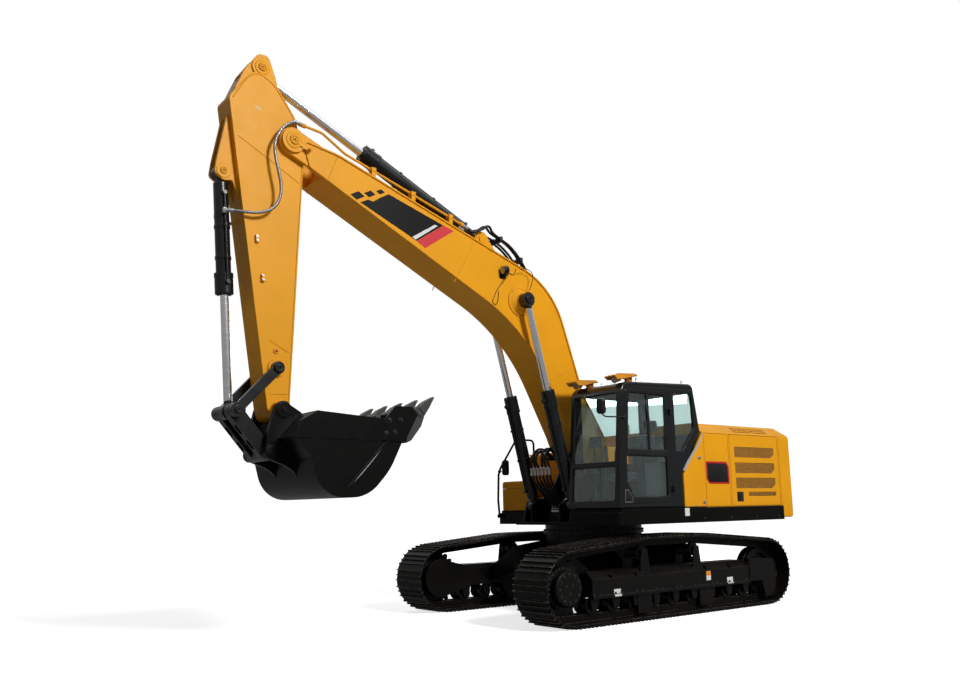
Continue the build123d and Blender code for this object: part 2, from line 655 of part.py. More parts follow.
def fuel_tank():
    tank = rounded_box(tank_rear, tank_front, right_out, right_in, deck_top, tank_top, 55.0)
    neck = Pos((tank_rear + tank_front) / 2, -1150.0, tank_top + 20.0) * Cylinder(70.0, 40.0)
    cap = Pos((tank_rear + tank_front) / 2, -1150.0, tank_top + 50.0) * Cylinder(84.0, 36.0)
    return tank + neck + fillet(cap.edges().group_by(Axis.Z)[-1], 12.0)


def hydraulic_tank():
    return rounded_box(short_front + sheet + 12.0, tank_rear - 15.0, right_out, right_in, deck_top, 2380.0, 45.0)


def tool_box():
    wall = 20.0
    body = block(box_rear, box_front, right_out, box_in, deck_top, box_seam)
    body = fillet(body.edges().filter_by(Axis.Z), 45.0)
    return body - block(box_rear + wall, box_front - wall, right_out + wall, box_in - wall,
                        deck_top + wall, box_seam + 1.0)


def tool_box_lid():
    lid_body = block(box_rear, box_front, right_out, box_in, box_seam + 4.0, box_top)
    lid_body = fillet(lid_body.edges().filter_by(Axis.Z), 45.0)
    lid_body = fillet(lid_body.edges().group_by(Axis.Z)[-1], 40.0)
    return lid_body - block(box_rear + 50.0, box_front - 50.0, right_out + 50.0, box_in - 50.0,
                            box_seam, box_top - 45.0)


def tool_box_and_lid():
    starts = [(x, box_in, box_seam + 2.0) for x in (box_rear + 130.0, box_front - 160.0)]
    box, box_lid = hang(tool_box(), tool_box_lid(), starts, (1, 0, 0))
    return {"tool_box": box, "tool_box_lid": box_lid}


# ---------------------------------------------------------------- cab
def cab_body(inset):
    return inset_plate(cab_profile, inset, cab_in + inset, cab_out - inset) if inset \
        else plate(cab_profile, cab_in, cab_out)


def cab_skin(inset, thick):
    """Layer of the cab's wall between two depths, for its glass."""
    return cab_body(inset) - cab_body(inset + thick)


mid_y = (cab_in + cab_out) / 2


def both_ends(piece):
    """The piece and its mirror image across the cab."""
    return piece + mirror(piece, about=Plane.XZ.offset(-mid_y))


pillar = 75.0
window_cuts = {               # x low, x high, y low, y high, z low, z high
    "upper_windshield": (700.0, 1100.0, cab_in + pillar, cab_out - pillar, 2010.0, 2925.0),
    "lower_windshield": (700.0, 1100.0, cab_in + pillar, cab_out - pillar, 1500.0, 1955.0),
    "inner_side": (-520.0, 690.0, cab_in - 40.0, cab_in + 80.0, 1900.0, 2960.0),
    "rear": (-900.0, -560.0, cab_in + pillar, cab_out - pillar, 2430.0, 3000.0),
    "roof": (-150.0, 480.0, cab_in + 190.0, cab_out - 190.0, 2980.0, 3200.0)}
quarter_window = [(-190.0, 2170.0, 25.0), (-190.0, 2985.0, 40.0), (-585.0, 2985.0, 60.0),
                  (-600.0, 2500.0, 60.0), (-330.0, 2170.0, 40.0)]


def window_prism(name, shrink=0.0):
    x0, x1, y0, y1, z0, z1 = window_cuts[name]
    if name in ("upper_windshield", "lower_windshield", "rear"):
        return block(x0, x1, y0 + shrink, y1 - shrink, z0 + shrink, z1 - shrink)
    if name == "inner_side":
        return block(x0 + shrink, x1 - shrink, y0, y1, z0 + shrink, z1 - shrink)
    return block(x0 + shrink, x1 - shrink, y0 + shrink, y1 - shrink, z0, z1)


cab_edge = 30.0               # rounding of the cab's upright and roof edges
gutter = 6.0


def cab_shell():
    """Welded cab frame with rounded edges, a roof gutter groove and its window openings."""
    outer = cab_body(0.0)
    rims = outer.edges().group_by(Axis.Y)[0] + outer.edges().group_by(Axis.Y)[-1]
    outer = fillet([e for e in rims if e.center().Z > cab_low + 1.0], cab_edge)
    shell = outer - cab_body(cab_wall)
    groove = [(850.0, 3012.0), (850.0, 3018.0), (-640.0, 3046.0), (-640.0, 3040.0)]
    shell -= both_ends(plate(groove, cab_out - gutter, cab_out + 1.0))
    for name in window_cuts:
        shell -= window_prism(name)
    shell -= plate(quarter_window, cab_out - 60.0, cab_out + 10.0)
    grown = offset(make_face(wire_of(door_profile, cab_out - 60.0)), amount=panel_gap)
    shell -= extrude(grown, 100.0, dir=(0, 1, 0))
    for z in hinge_heights:
        pin_top, pin_low = z + 30.0, z - 34.0
        leaf = block(door_hinge_x - 30.0, door_hinge_x, cab_out - 10.0, door_hinge_y, pin_low, z - 2.0)
        leaf += rod((door_hinge_x, door_hinge_y, pin_low), (door_hinge_x, door_hinge_y, z - 2.0), hinge_radius)
        leaf += rod((door_hinge_x, door_hinge_y, pin_low), (door_hinge_x, door_hinge_y, pin_top), hinge_pin)
        shell += leaf
    return shell


door_panes = {
    "upper": [(775.0, 2165.0, 30.0), (715.0, 2930.0, 50.0), (0.0, 2930.0, 40.0), (0.0, 2165.0, 25.0)],
    "lower": [(800.0, 2095.0, 25.0), (810.0, 1760.0, 40.0), (690.0, 1550.0, 40.0), (0.0, 1550.0, 40.0),
              (0.0, 2095.0, 25.0)]}


def cab_door():
    """Door frame in pressed steel with two window openings and its hinge eyes."""
    frame = plate(door_profile, cab_out - 40.0, cab_out)
    for outline in door_panes.values():
        frame -= plate(outline, cab_out - 60.0, cab_out + 10.0)
    for z in hinge_heights:
        leaf = block(door_edge + 2.0, door_edge + 30.0, cab_out, cab_out + 11.0, z, z + 60.0)
        leaf += block(door_hinge_x, door_edge + 30.0, cab_out + 3.0, cab_out + 11.0, z, z + 60.0)
        leaf += block(door_hinge_x - 6.0, door_hinge_x + 6.0, cab_out + 3.0, door_hinge_y, z, z + 60.0)
        leaf += rod((door_hinge_x, door_hinge_y, z), (door_hinge_x, door_hinge_y, z + 60.0), hinge_radius)
        leaf -= rod((door_hinge_x, door_hinge_y, z - 1.0), (door_hinge_x, door_hinge_y, z + 34.0),
                    hinge_pin + running_gap)
        frame += leaf
    return frame


def door_glass():
    panes = [extrude(offset(make_face(wire_of(outline, cab_out - 26.0)), amount=-seat_gap), 8.0, dir=(0, 1, 0))
             for outline in door_panes.values()]
    return Part() + panes


def cab_glass():
    layer = cab_skin(glass_inset, glass)
    panes = [layer & window_prism(name, seat_gap) for name in window_cuts]
    quarter = offset(make_face(wire_of(quarter_window, cab_out - 26.0)), amount=-seat_gap)
    panes.append(extrude(quarter, glass, dir=(0, 1, 0)))
    return Part() + panes


def seat():
    """Seat on its box: cushion, back and head rest as one padded shape on a suspension."""
    floor = cab_low + cab_wall
    cushion = [(-110.0, floor + 330.0, 20.0), (440.0, floor + 330.0, 40.0), (450.0, floor + 440.0, 50.0),
               (50.0, floor + 420.0, 40.0), (-110.0, floor + 1000.0, 45.0), (-240.0, floor + 985.0, 30.0)]
    head = [(-180.0, floor + 1010.0, 30.0), (-140.0, floor + 1190.0, 40.0), (-250.0, floor + 1190.0, 35.0),
            (-270.0, floor + 1010.0, 20.0)]
    return block(-60.0, 340.0, mid_y - 200.0, mid_y + 200.0, floor + seat_gap, floor + 340.0) \
        + plate(cushion, mid_y - 250.0, mid_y + 250.0) + plate(head, mid_y - 130.0, mid_y + 130.0) \
        + block(-215.0, -190.0, mid_y - 60.0, mid_y + 60.0, floor + 950.0, floor + 1040.0)


def consoles():
    """Arm consoles with joysticks, and travel levers standing on their pedals."""
    floor = cab_low + cab_wall + seat_gap
    piece = Part()
    for side in (-1, 1):
        y = mid_y + side * 330.0
        piece += block(-150.0, 380.0, y - 65.0, y + 65.0, floor, floor + 560.0)
        piece += rod((320.0, y, floor + 550.0), (340.0, y, floor + 760.0), 22.0)
        y = mid_y + side * 90.0
        piece += block(600.0, 760.0, y - 55.0, y + 55.0, floor, floor + 40.0)
        piece += rod((660.0, y, floor + 20.0), (590.0, y, floor + 760.0), 14.0)
    return piece


def monitor():
    y = cab_in + 130.0
    post = rod((560.0, y, cab_low + cab_wall + seat_gap), (560.0, y, 2280.0), 18.0)
    return post + block(545.0, 585.0, y - 60.0, y + 130.0, 2240.0, 2400.0)


def roof_height(x):
    (x1, z1, _), (x2, z2, _) = cab_profile[1:3]
    return z1 + (x - x1) * (z2 - z1) / (x2 - x1)


def roof_lamps():
    """Two round work lamps under long wedge visors at the front corners of the cab roof."""
    visor = [(468.0, 3158.0, 6.0), (545.0, 3194.0, 40.0), (872.0, 3176.0, 30.0), (952.0, 3142.0, 4.0),
             (925.0, 3126.0, 2.0), (858.0, 3156.0, 30.0), (560.0, 3166.0, 6.0)]
    cheek = [(560.0, 3160.0), (860.0, 3158.0), (935.0, 3132.0), (890.0, 3098.0), (760.0, 3112.0)]
    piece = Part()
    for y in (cab_in + 112.0, cab_out - 112.0):
        piece += plate(visor, y - 95.0, y + 95.0)
        piece += plate(cheek, y - 95.0, y - 89.0) + plate(cheek, y + 89.0, y + 95.0)
        piece += rod((765.0, y, 3134.0), (862.0, y, 3096.0), 48.0)
        stalk = [(520.0, roof_height(520.0) + seat_gap), (640.0, roof_height(640.0) + seat_gap),
                 (640.0, 3120.0), (780.0, 3130.0), (780.0, 3168.0), (520.0, 3168.0)]
        piece += plate(stalk, y - 16.0, y + 16.0)
    return piece


def cab_mirror():
    """Left mirror head with its glass edge, on a bent arm from the front pillar."""
    y = cab_out + 52.0
    foot_x, foot_z = 832.0, 2594.0
    arm_rows = [(foot_x, cab_out + 20.0, foot_z), (1222.0, y, 2576.0), (1272.0, y, 2600.0), (1282.0, y, 2700.0)]
    piece = tube(arm_rows, [30.0, 20.0], 9.0)
    piece += Pos(foot_x, cab_out + 20.0, foot_z) * Sphere(19.0)
    foot = block(foot_x - 20.0, foot_x + 20.0, cab_out + seat_gap, cab_out + 22.0, foot_z - 34.0, foot_z + 34.0)
    head = block(1238.0, 1300.0, y - 92.0, y + 30.0, 2612.0, 2812.0)
    head = fillet(head.edges().filter_by(Axis.X), 45.0)
    head = fillet(head.faces().sort_by(Axis.X)[-1].edges(), 24.0)
    return piece + fillet(foot.edges().filter_by(Axis.Y), 8.0) + head


rail_side = 1390.0
rail_radius = 17.0


def right_rail():
    """Handrail from the right platform up to the fuel tank; it also carries the mirror."""
    y = -rail_side
    foot_x = right_front + 40.0
    path = [(foot_x, y, deck_top - 60.0), (foot_x + 20.0, y, deck_top + 160.0), (foot_x, y, 1960.0),
            (590.0, y, 2060.0), (250.0, y, 2520.0), (-120.0, y, 2520.0), (-120.0, y, tank_top + seat_gap)]
    rail = tube(path, [60.0, 60.0, 60.0, 70.0, 70.0], rail_radius)
    rail += block(right_front + seat_gap, foot_x + 22.0, y - 26.0, y + 26.0, deck_top - 110.0, deck_top - 55.0)
    head = block(395.0, 445.0, y - 150.0, y - 20.0, 1955.0, 2195.0)
    head = fillet(head.edges().filter_by(Axis.X), 40.0)
    head = fillet(head.faces().sort_by(Axis.X)[-1].edges(), 18.0)
    for z in (2010.0, 2140.0):
        rail += rod((rail_at(z), y, z), (420.0, y - 60.0, z), 8.0) + Pos(rail_at(z), y, z) * Sphere(26.0)
    return rail + head


def rail_at(z):
    """Place of the rail's slanted run along X at a height."""
    return 590.0 - (z - 2060.0) * (590.0 - 250.0) / (2520.0 - 2060.0) if z > 2060.0 else \
        590.0 + (2060.0 - z) * 0.4


# ---------------------------------------------------------------- boom
box_end = 530.0               # the box is open round the tip, where its sides form a fork
fork_root = 900.0             # the fork's cheeks run back to here from the tip
lamp_place = (1830.0, 4690.0)   # work lamp on the left of the boom
arm_lug = [(1640.0, 4790.0), (1960.0, 5155.0), (2030.0, 5230.0), (2130.0, 5220.0), (2230.0, 5000.0)]
boom_outline = [
    (20.0, 1800.0, 60.0), (330.0, 1800.0, 100.0), (633.0, 2463.0, 500.0), (1414.0, 3889.0, 2600.0),
    (4800.0, 5530.0, 60.0), (4900.0, 5860.0, 60.0), (4396.0, 5775.0, 900.0), (900.0, 4600.0, 1150.0),
    (360.0, 3070.0, 1100.0), (-75.0, 2400.0, 200.0)]


def keeper(pin, end, y):
    """Keeper bar that stops a pin from turning, bolted on a face at height y."""
    run = along_line(pin, end, 40.0)
    return strap([(run, 24.0), (end, 23.0)], y, y + 12.0)


def boom():
    """Box boom with overhanging flanges, fork tip, foot tube, bosses and cylinder lugs."""
    core = inset_plate(boom_outline, flange_plate, -boom_half, boom_half)
    flanges = plate(boom_outline, -boom_flange, boom_flange) \
        - inset_plate(boom_outline, flange_plate, -boom_flange - 1.0, boom_flange + 1.0)
    box = core + flanges - disc(boom_tip, box_end, -fork_in, fork_in) - disc(boom_foot, 230.0, -400.0, 400.0)
    box += strap([(boom_foot, 150.0), ((330.0, 2400.0), 250.0)], -boom_half, boom_half)
    box += disc(boom_foot, 150.0, -web_in + side_gap, web_in - side_gap)
    root = along_line(boom_tip, (3000.0, 4960.0), fork_root)
    fork = strap([(boom_tip, 165.0), (root, 170.0)], fork_in, boom_half)
    fork += disc(boom_tip, 150.0, fork_in, fork_out)
    fork += disc(boom_tip, tip_pin, 0.0, fork_out + 18.0)
    fork += keeper(boom_tip, (boom_tip[0] - 200.0, boom_tip[1] - 90.0), fork_out)
    rod_in = boom_cylinder_y - cylinders["boom"][7] - side_gap
    boss = disc(boom_cylinder_eye, 210.0, 0.0, boom_half + 14.0)
    boss += cone(boom_cylinder_eye, 185.0, 105.0, boom_half + 10.0, rod_in - 20.0)
    boss += disc(boom_cylinder_eye, 105.0, 0.0, rod_in)
    box += both_sides(fork + boss)
    half = cylinders["arm"][7] + side_gap
    lug = plate(arm_lug, half, half + 45.0) + disc(arm_cylinder_base, 118.0, half, half + 45.0)
    lug += disc(arm_cylinder_base, cylinder_pin, 0.0, half + 60.0)
    lug += keeper(arm_cylinder_base, (arm_cylinder_base[0] - 40.0, arm_cylinder_base[1] - 150.0), half + 45.0)
    return box + both_sides(lug) - disc(boom_foot, foot_pin + running_gap, -web_out, web_out)


pipe_y, pipe_radius = 230.0, 16.0
pipe_line = [(2480.0, 5235.0), (3490.0, 5563.0), (4300.0, 5822.0), (4619.0, 6015.0), (4900.0, 6048.0)]
pipe_clamps = [(2700.0, 5306.0), (3300.0, 5501.0), (3900.0, 5694.0)]


def boom_pipes():
    """Two steel pipes over the boom's top flange with their clamps, end nuts and bent ends."""
    run = tube([(x, pipe_y, z) for x, z in pipe_line], [400.0, 250.0, 150.0], pipe_radius)
    for start, end in ((pipe_line[0], pipe_line[1]), (pipe_line[-1], pipe_line[-2])):
        ends = [along_line(start, end, distance) for distance in (0.0, 55.0)]
        run += rod((ends[0][0], pipe_y, ends[0][1]), (ends[1][0], pipe_y, ends[1][1]), pipe_radius * 1.7)
    for x, z in pipe_clamps:
        run += block(x - 35.0, x + 35.0, pipe_y - 38.0, pipe_y + 34.0, z - 20.0, z + 30.0)
        feet = [(end, flange_height(end) + seat_gap) for end in (x - 30.0, x + 30.0)]
        run += plate(feet + [(x + 30.0, z), (x - 30.0, z)], pipe_y - 30.0, pipe_y + 30.0)
    return both_sides(run)


def flange_height(x):
    """Height of the boom's top flange over its straight run."""
    (x1, z1, _), (x2, z2, _) = boom_outline[7], boom_outline[6]
    return z1 + (x - x1) * (z2 - z1) / (x2 - x1)


def boom_lamp():
    """Round work lamp on a bracket at the left of the boom."""
    x, z = lamp_place
    y = boom_half + seat_gap
    bracket = block(x - 60.0, x + 40.0, y, y + 8.0, z - 110.0, z - 20.0)
    bracket += block(x - 45.0, x + 25.0, y, y + 93.0, z - 70.0, z - 62.0)
    lamp = rod((x - 35.0, y + 70.0, z + 6.0), (x + 45.0, y + 70.0, z - 12.0), 55.0)
    return bracket + lamp + block(x - 15.0, x + 5.0, y + 60.0, y + 80.0, z - 66.0, z - 30.0)


def rod_along(base, eye, start, end, radius, y):
    """Round bar on a cylinder's line, between two distances from its base pin."""
    ends = [along_line(base, eye, distance) for distance in (start, end)]
    return rod((ends[0][0], y, ends[0][1]), (ends[1][0], y, ends[1][1]), radius)


pipe_sides = {                # sense across the barrel in XZ, and along Y
    "boom": (-1.0, 0.0), "arm": (1.0, 0.0), "bucket": (0.0, 1.0)}


def barrel_pipe(name, y):
    """Oil pipe beside a barrel, with its port block, two clamps and end nut."""
    base, eye, length, radius, gland = cylinders[name][:5]
    across, sideways = pipe_sides[name]
    ux, uz = direction(base, eye)
    out = radius + 24.0

    def at(distance, lift):
        return (base[0] + ux * distance - across * uz * lift, y + sideways * lift,
                base[1] + uz * distance + across * ux * lift)

    start, end = 260.0, length - 120.0
    piece = rod(at(start, out), at(end - 20.0, out), 13.0)
    piece += rod(at(end, radius * 0.8), at(end, gland + 34.0), 26.0) + rod(at(end - 30.0, out), at(end + 22.0, out), 19.0)
    piece += rod(at(start, radius * 0.8), at(start, out + 22.0), 24.0)
    for share in (0.35, 0.7):
        place = start + share * (end - start)
        piece += rod_along(base, eye, place, place + 34.0, radius + 7.0, y)
        piece += rod(at(place, out), at(place + 34.0, out), 24.0)
    return piece


def barrel(name, y=0.0):
    """Barrel with its bored base eye, neck and gland, hollow for the rod."""
    base, eye, length, radius, gland, rod_radius, eye_radius, half = cylinders[name]
    piece = rod_along(base, eye, 0.0, eye_radius * 1.5, half * 0.95, y)
    piece += rod_along(base, eye, eye_radius * 1.35, length, radius, y)
    piece += rod_along(base, eye, length - 190.0, length, gland, y)
    piece += rod_along(base, eye, length - 235.0, length - 190.0, gland + 4.0, y)
    piece += disc(base, eye_radius, y - half, y + half)
    piece += barrel_pipe(name, y)
    piece -= disc(base, cylinder_pin + running_gap, y - half - 1.0, y + half + 1.0)
    return piece - rod_along(base, eye, eye_radius * 1.7, length + 10.0, rod_radius + running_gap, y)


def piston_rod(name, y=0.0):
    base, eye, length, radius, gland, rod_radius, eye_radius, half = cylinders[name]
    span = hypot(eye[0] - base[0], eye[1] - base[1])
    piece = rod_along(base, eye, length - rod_inside[name], span, rod_radius, y)
    piece += disc(eye, eye_radius, y - half, y + half)
    if name == "boom":
        piece += disc(eye, eye_radius * 0.62, y + half, y + half + 14.0)
    return piece


# ---------------------------------------------------------------- arm
arm_outline = [
    (5505.0, 6580.0, 100.0), (5790.0, 6200.0, 90.0), (5265.0, 2600.0, 60.0), (5130.0, 2460.0, 80.0),
    (4995.0, 2560.0, 80.0), (4840.0, 5600.0, 260.0), (4945.0, 6120.0, 120.0), (5270.0, 6580.0, 100.0)]
arm_head_half = 135.0         # the two cheeks of the head stand in from the arm's sides
arm_head = [
    (5420.0, 6850.0, 90.0), (5590.0, 6600.0, 200.0), (5760.0, 6200.0, 60.0), (5100.0, 6200.0, 60.0),
    (5195.0, 6600.0, 200.0), (5290.0, 6850.0, 70.0)]


def arm():
    """Box arm with the fork for its cylinder, the pivot tube, and the bucket cylinder bracket."""
    body = plate(arm_outline, -arm_half, arm_half) + plate(arm_head, -arm_head_half, arm_head_half)
    half = cylinders["arm"][7] + side_gap
    body -= strap([(arm_cylinder_eye, 308.0), ((5000.0, 6740.0), 500.0)], -half, half)
    head = disc(arm_cylinder_eye, 125.0, half, arm_head_half + 22.0)
    head += disc(arm_cylinder_eye, cylinder_pin, arm_head_half, arm_head_half + 40.0)
    head += keeper(arm_cylinder_eye, (arm_cylinder_eye[0] + 60.0, arm_cylinder_eye[1] - 170.0), arm_head_half)
    body += both_sides(head)
    body += disc(boom_tip, 170.0, -fork_in + side_gap, fork_in - side_gap)
    body -= disc(boom_tip, tip_pin + running_gap, -fork_in, fork_in)
    guide = disc(guide_pin, 105.0, 0.0, guide_in - side_gap)
    guide += disc(guide_pin, bucket_pin_radius, 0.0, guide_out + 5.0)
    body += both_sides(guide)
    body += disc(bucket_pin, 108.0, -ear_in + side_gap, ear_in - side_gap)
    body -= disc(bucket_pin, bucket_pin_radius + running_gap, -ear_in, ear_in)
    bracket = [(5560.0, 6160.0, 0.1), (5780.0, 5990.0, 60.0), (5890.0, 5440.0, 60.0),
               (5912.0, 5280.0, 60.0), (5800.0, 5205.0, 50.0), (5700.0, 5225.0, 30.0), (5560.0, 4860.0, 0.1)]
    half = cylinders["bucket"][7] + side_gap
    lug = plate(bracket, half, half + 40.0) + disc(bucket_cylinder_base, cylinder_pin, 0.0, half + 58.0)
    lug += disc(bucket_cylinder_base, 84.0, half, half + 48.0)
    return body + both_sides(lug)


# ---------------------------------------------------------------- bucket linkage and bucket
link_in, link_out = 72.0, 192.0      # H-link side bars


def guide_links():
    """Two straight links, each with the pin stub that carries the H-link."""
    link = strap([(guide_pin, 56.0), (link_pin, 54.0)], guide_in, guide_out)
    link += disc(guide_pin, 72.0, guide_in, guide_out) + disc(guide_pin, 62.0, guide_out, guide_out + 24.0)
    link -= disc(guide_pin, bucket_pin_radius + running_gap, guide_in - 1.0, guide_out + 7.0)
    link += disc(link_pin, 84.0, guide_in, guide_out + 30.0)
    link += disc(link_pin, link_pin_radius, link_in - 8.0, guide_out + 48.0)
    return both_sides(link)


def link_pocket(low, high):
    """Round-ended pocket in the front of an H-link bar, between two distances from the link pin."""
    ux, uz = direction(link_pin, bucket_link_pin)
    x, z = along_line(link_pin, bucket_link_pin, (low + high) / 2)
    face = Plane(origin=(x - uz * 60.0, (link_in + link_out) / 2, z + ux * 60.0),
                 x_dir=(ux, 0, uz), z_dir=(-uz, 0, ux))
    return extrude(face * SlotOverall(high - low, 66.0), 60.0)


def h_link():
    """Two side bars joined by a cross tube, with pin eyes at both ends."""
    bar = strap([(link_pin, 85.0), (bucket_link_pin, 85.0)], link_in, link_out)
    bar -= disc(link_pin, link_pin_radius + running_gap, link_in - 1.0, link_out + 1.0)
    for low, high in ((130.0, 270.0), (345.0, 485.0)):
        bar -= link_pocket(low, high)
    middle = ((link_pin[0] + 2 * bucket_link_pin[0]) / 3, (link_pin[1] + 2 * bucket_link_pin[1]) / 3)
    return both_sides(bar) + disc(middle, 60.0, -link_in - 10.0, link_in + 10.0) \
        + disc(bucket_link_pin, 85.0, -ear_in + side_gap, ear_in - side_gap)


bucket_half = 740.0
bucket_wall = 25.0
bucket_outline = [
    (3615.0, 2640.0, 5.0), (3989.0, 1903.0, 900.0), (4290.0, 1590.0, 480.0), (4880.0, 1590.0, 370.0),
    (4998.0, 2035.0, 40.0), (5200.0, 2242.0, 30.0), (5060.0, 2400.0, 20.0), (4930.0, 2545.0, 5.0),
    (4060.0, 2490.0, 60.0)]
side_brow = [(5020.0, 2300.0, 5.0), (5188.0, 2262.0, 5.0), (5153.0, 2423.0, 30.0), (4950.0, 2524.0, 5.0),
             (4920.0, 2460.0, 5.0)]       # each side plate stands out here beyond the torsion box
band_outline = [(3990.0, 2238.0, 5.0), (5196.0, 2238.0, 20.0), (5150.0, 2420.0, 30.0), (4930.0, 2542.0, 5.0),
                (4060.0, 2487.0, 60.0), (3990.0, 2490.0, 5.0)]
mouth_corners = [(3700.0, 2440.0), (4850.0, 2440.0), (4880.0, 2800.0), (3660.0, 2800.0)]
side_band = 12.0              # thicker band round the top of each side plate
cutter_plate = 26.0


def bucket():
    """Welded bucket: wrapper, side plates, ears, torsion box and cutting lip."""
    body = plate(bucket_outline, -bucket_half, bucket_half)
    body += both_sides(plate(side_brow, bucket_half - bucket_wall, bucket_half))
    inside = inset_plate(bucket_outline, bucket_wall, -bucket_half + bucket_wall, bucket_half - bucket_wall)
    body -= plate(mouth_corners, -bucket_half + bucket_wall, bucket_half - bucket_wall)
    ear = [(5222.0, 2640.0, 50.0), (5130.0, 2695.0, 60.0), (4900.0, 2565.0, 10.0), (4880.0, 2100.0, 10.0),
           (4940.0, 1960.0, 10.0), (4850.0, 1760.0, 3.0), (4905.0, 1768.0, 6.0), (4983.0, 1895.0, 120.0),
           (5094.0, 1960.0, 60.0), (5240.0, 2012.0, 40.0), (5338.0, 2085.0, 60.0), (5300.0, 2330.0, 300.0)]
    plates = plate(ear, ear_in, ear_out)
    for pin, outer in ((bucket_pin, 98.0), (bucket_link_pin, 82.0)):
        plates += disc(pin, outer, ear_in, ear_out + 14.0) + disc(pin, outer - 16.0, ear_out, ear_out + 26.0)
        plates += disc(pin, 36.0, ear_out, ear_out + 36.0)
    plates += disc(bucket_pin, bucket_pin_radius, 0.0, ear_out)
    body += both_sides(plates)
    body -= inside
    band = plate(band_outline, bucket_half - 1.0, bucket_half + side_band)
    rib = strap([((4541.0, 1706.0), 9.0), ((4027.0, 2243.0), 8.9)], bucket_half - 1.0, bucket_half + 14.0)
    cutter = [(4050.0, 2510.0, 5.0), (3927.0, 2645.0, 10.0), (3690.0, 2645.0, 10.0), (3612.0, 2560.0, 10.0),
              (3800.0, 2235.0, 10.0), (4107.0, 2238.0, 10.0)]
    side = band + rib + plate(cutter, bucket_half, bucket_half + cutter_plate)
    return body + both_sides(side)


tooth_count = 5
tooth_span = 1400.0
tooth_tip = (3360.0, 2782.0)
tooth_root = (3550.0, 2600.0)
adapter = [                   # profile of the adapter that straddles the lip
    (3592.0, 2662.0, 8.0), (3500.0, 2570.0, 8.0), (3560.0, 2420.0, 60.0), (3700.0, 2250.0, 20.0),
    (3775.0, 2215.0, 5.0), (3720.0, 2480.0, 5.0), (3700.0, 2600.0, 20.0)]


def tooth():
    """Wedge tooth from its tip to its socket, narrower at the tip, centred on y = 0."""
    ux, uz = direction(tooth_tip, tooth_root)
    length = hypot(tooth_root[0] - tooth_tip[0], tooth_root[1] - tooth_tip[1])
    frame = Plane(origin=(tooth_tip[0], 0, tooth_tip[1]), x_dir=(ux, 0, uz), z_dir=(0, -1, 0))
    side = make_face(Polyline((0, 7), (0, -7), (length * 0.55, -42), (length, -60), (length, 60),
                              (length * 0.5, 48), close=True))
    above = Plane(origin=(tooth_tip[0], 0, tooth_tip[1]), x_dir=(ux, 0, uz), z_dir=(-uz, 0, ux))
    top = make_face(Polyline((0, 38), (0, -38), (length, -58), (length, 58), close=True))
    return extrude(frame * side, 60, both=True) & extrude(above * top, 80, both=True)


def bucket_teeth():
    one = tooth() + plate(adapter, -48.0, 48.0)
    one += disc((3570.0, 2560.0), 22.0, -62.0, 62.0)
    pieces = [Pos(0, -tooth_span / 2 + i * tooth_span / (tooth_count - 1), 0) * one for i in range(tooth_count)]
    return Part() + pieces - bucket_body


# ---------------------------------------------------------------- nodes
bucket_body = bucket()
left_track = track()
left_sprocket, left_idler = sprocket(), idler()
left_rollers, left_frame = rollers(), track_frame()
nodes = {
    "car_body": car_body(), "slew_ring": slew_ring(),
    "left_track": left_track, "right_track": mirror(left_track, about=Plane.XZ),
    "left_sprocket": left_sprocket, "right_sprocket": mirror(left_sprocket, about=Plane.XZ),
    "left_idler": left_idler, "right_idler": mirror(left_idler, about=Plane.XZ),
    "left_rollers": left_rollers, "right_rollers": mirror(left_rollers, about=Plane.XZ),
    "left_track_frame": left_frame, "right_track_frame": mirror(left_frame, about=Plane.XZ),
    "swing_frame": swing_frame(), "left_deck": deck(left_front, 1), "right_deck": deck(right_front, -1),
    "counterweight": counterweight(), **housing_and_doors(), "engine_block": engine_block(),
    "exhaust_stub": exhaust(), "fuel_tank": fuel_tank(), "hydraulic_tank": hydraulic_tank(),
    **tool_box_and_lid(),
    "cab_shell": cab_shell(), "cab_glass": cab_glass(), "cab_door": cab_door(), "door_glass": door_glass(),
    "seat": seat(), "consoles": consoles(), "monitor": monitor(), "roof_lamps": roof_lamps(),
    "right_rail": right_rail(), "cab_mirror": cab_mirror(),
    "boom": boom(), "boom_pipes": boom_pipes(), "boom_lamp": boom_lamp(),
    "boom_cylinder_barrels": both_sides(barrel("boom", boom_cylinder_y)),
    "boom_cylinder_rods": both_sides(piston_rod("boom", boom_cylinder_y)),
    "arm_cylinder_barrel": barrel("arm"), "arm_cylinder_rod": piston_rod("arm"),
    "arm": arm(), "bucket_cylinder_barrel": barrel("bucket"), "bucket_cylinder_rod": piston_rod("bucket"),
    "guide_links": guide_links(), "h_link": h_link(), "bucket": bucket_body, "bucket_teeth": bucket_teeth()}

os.makedirs("parts", exist_ok=True)
for name, piece in nodes.items():
    export_step(Pos(slew_x, 0, 0) * piece, f"parts/{name}.step")
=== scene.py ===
from math import cos, hypot, pi, radians, sin

import bmesh
import bpy
from mathutils import Matrix, Vector


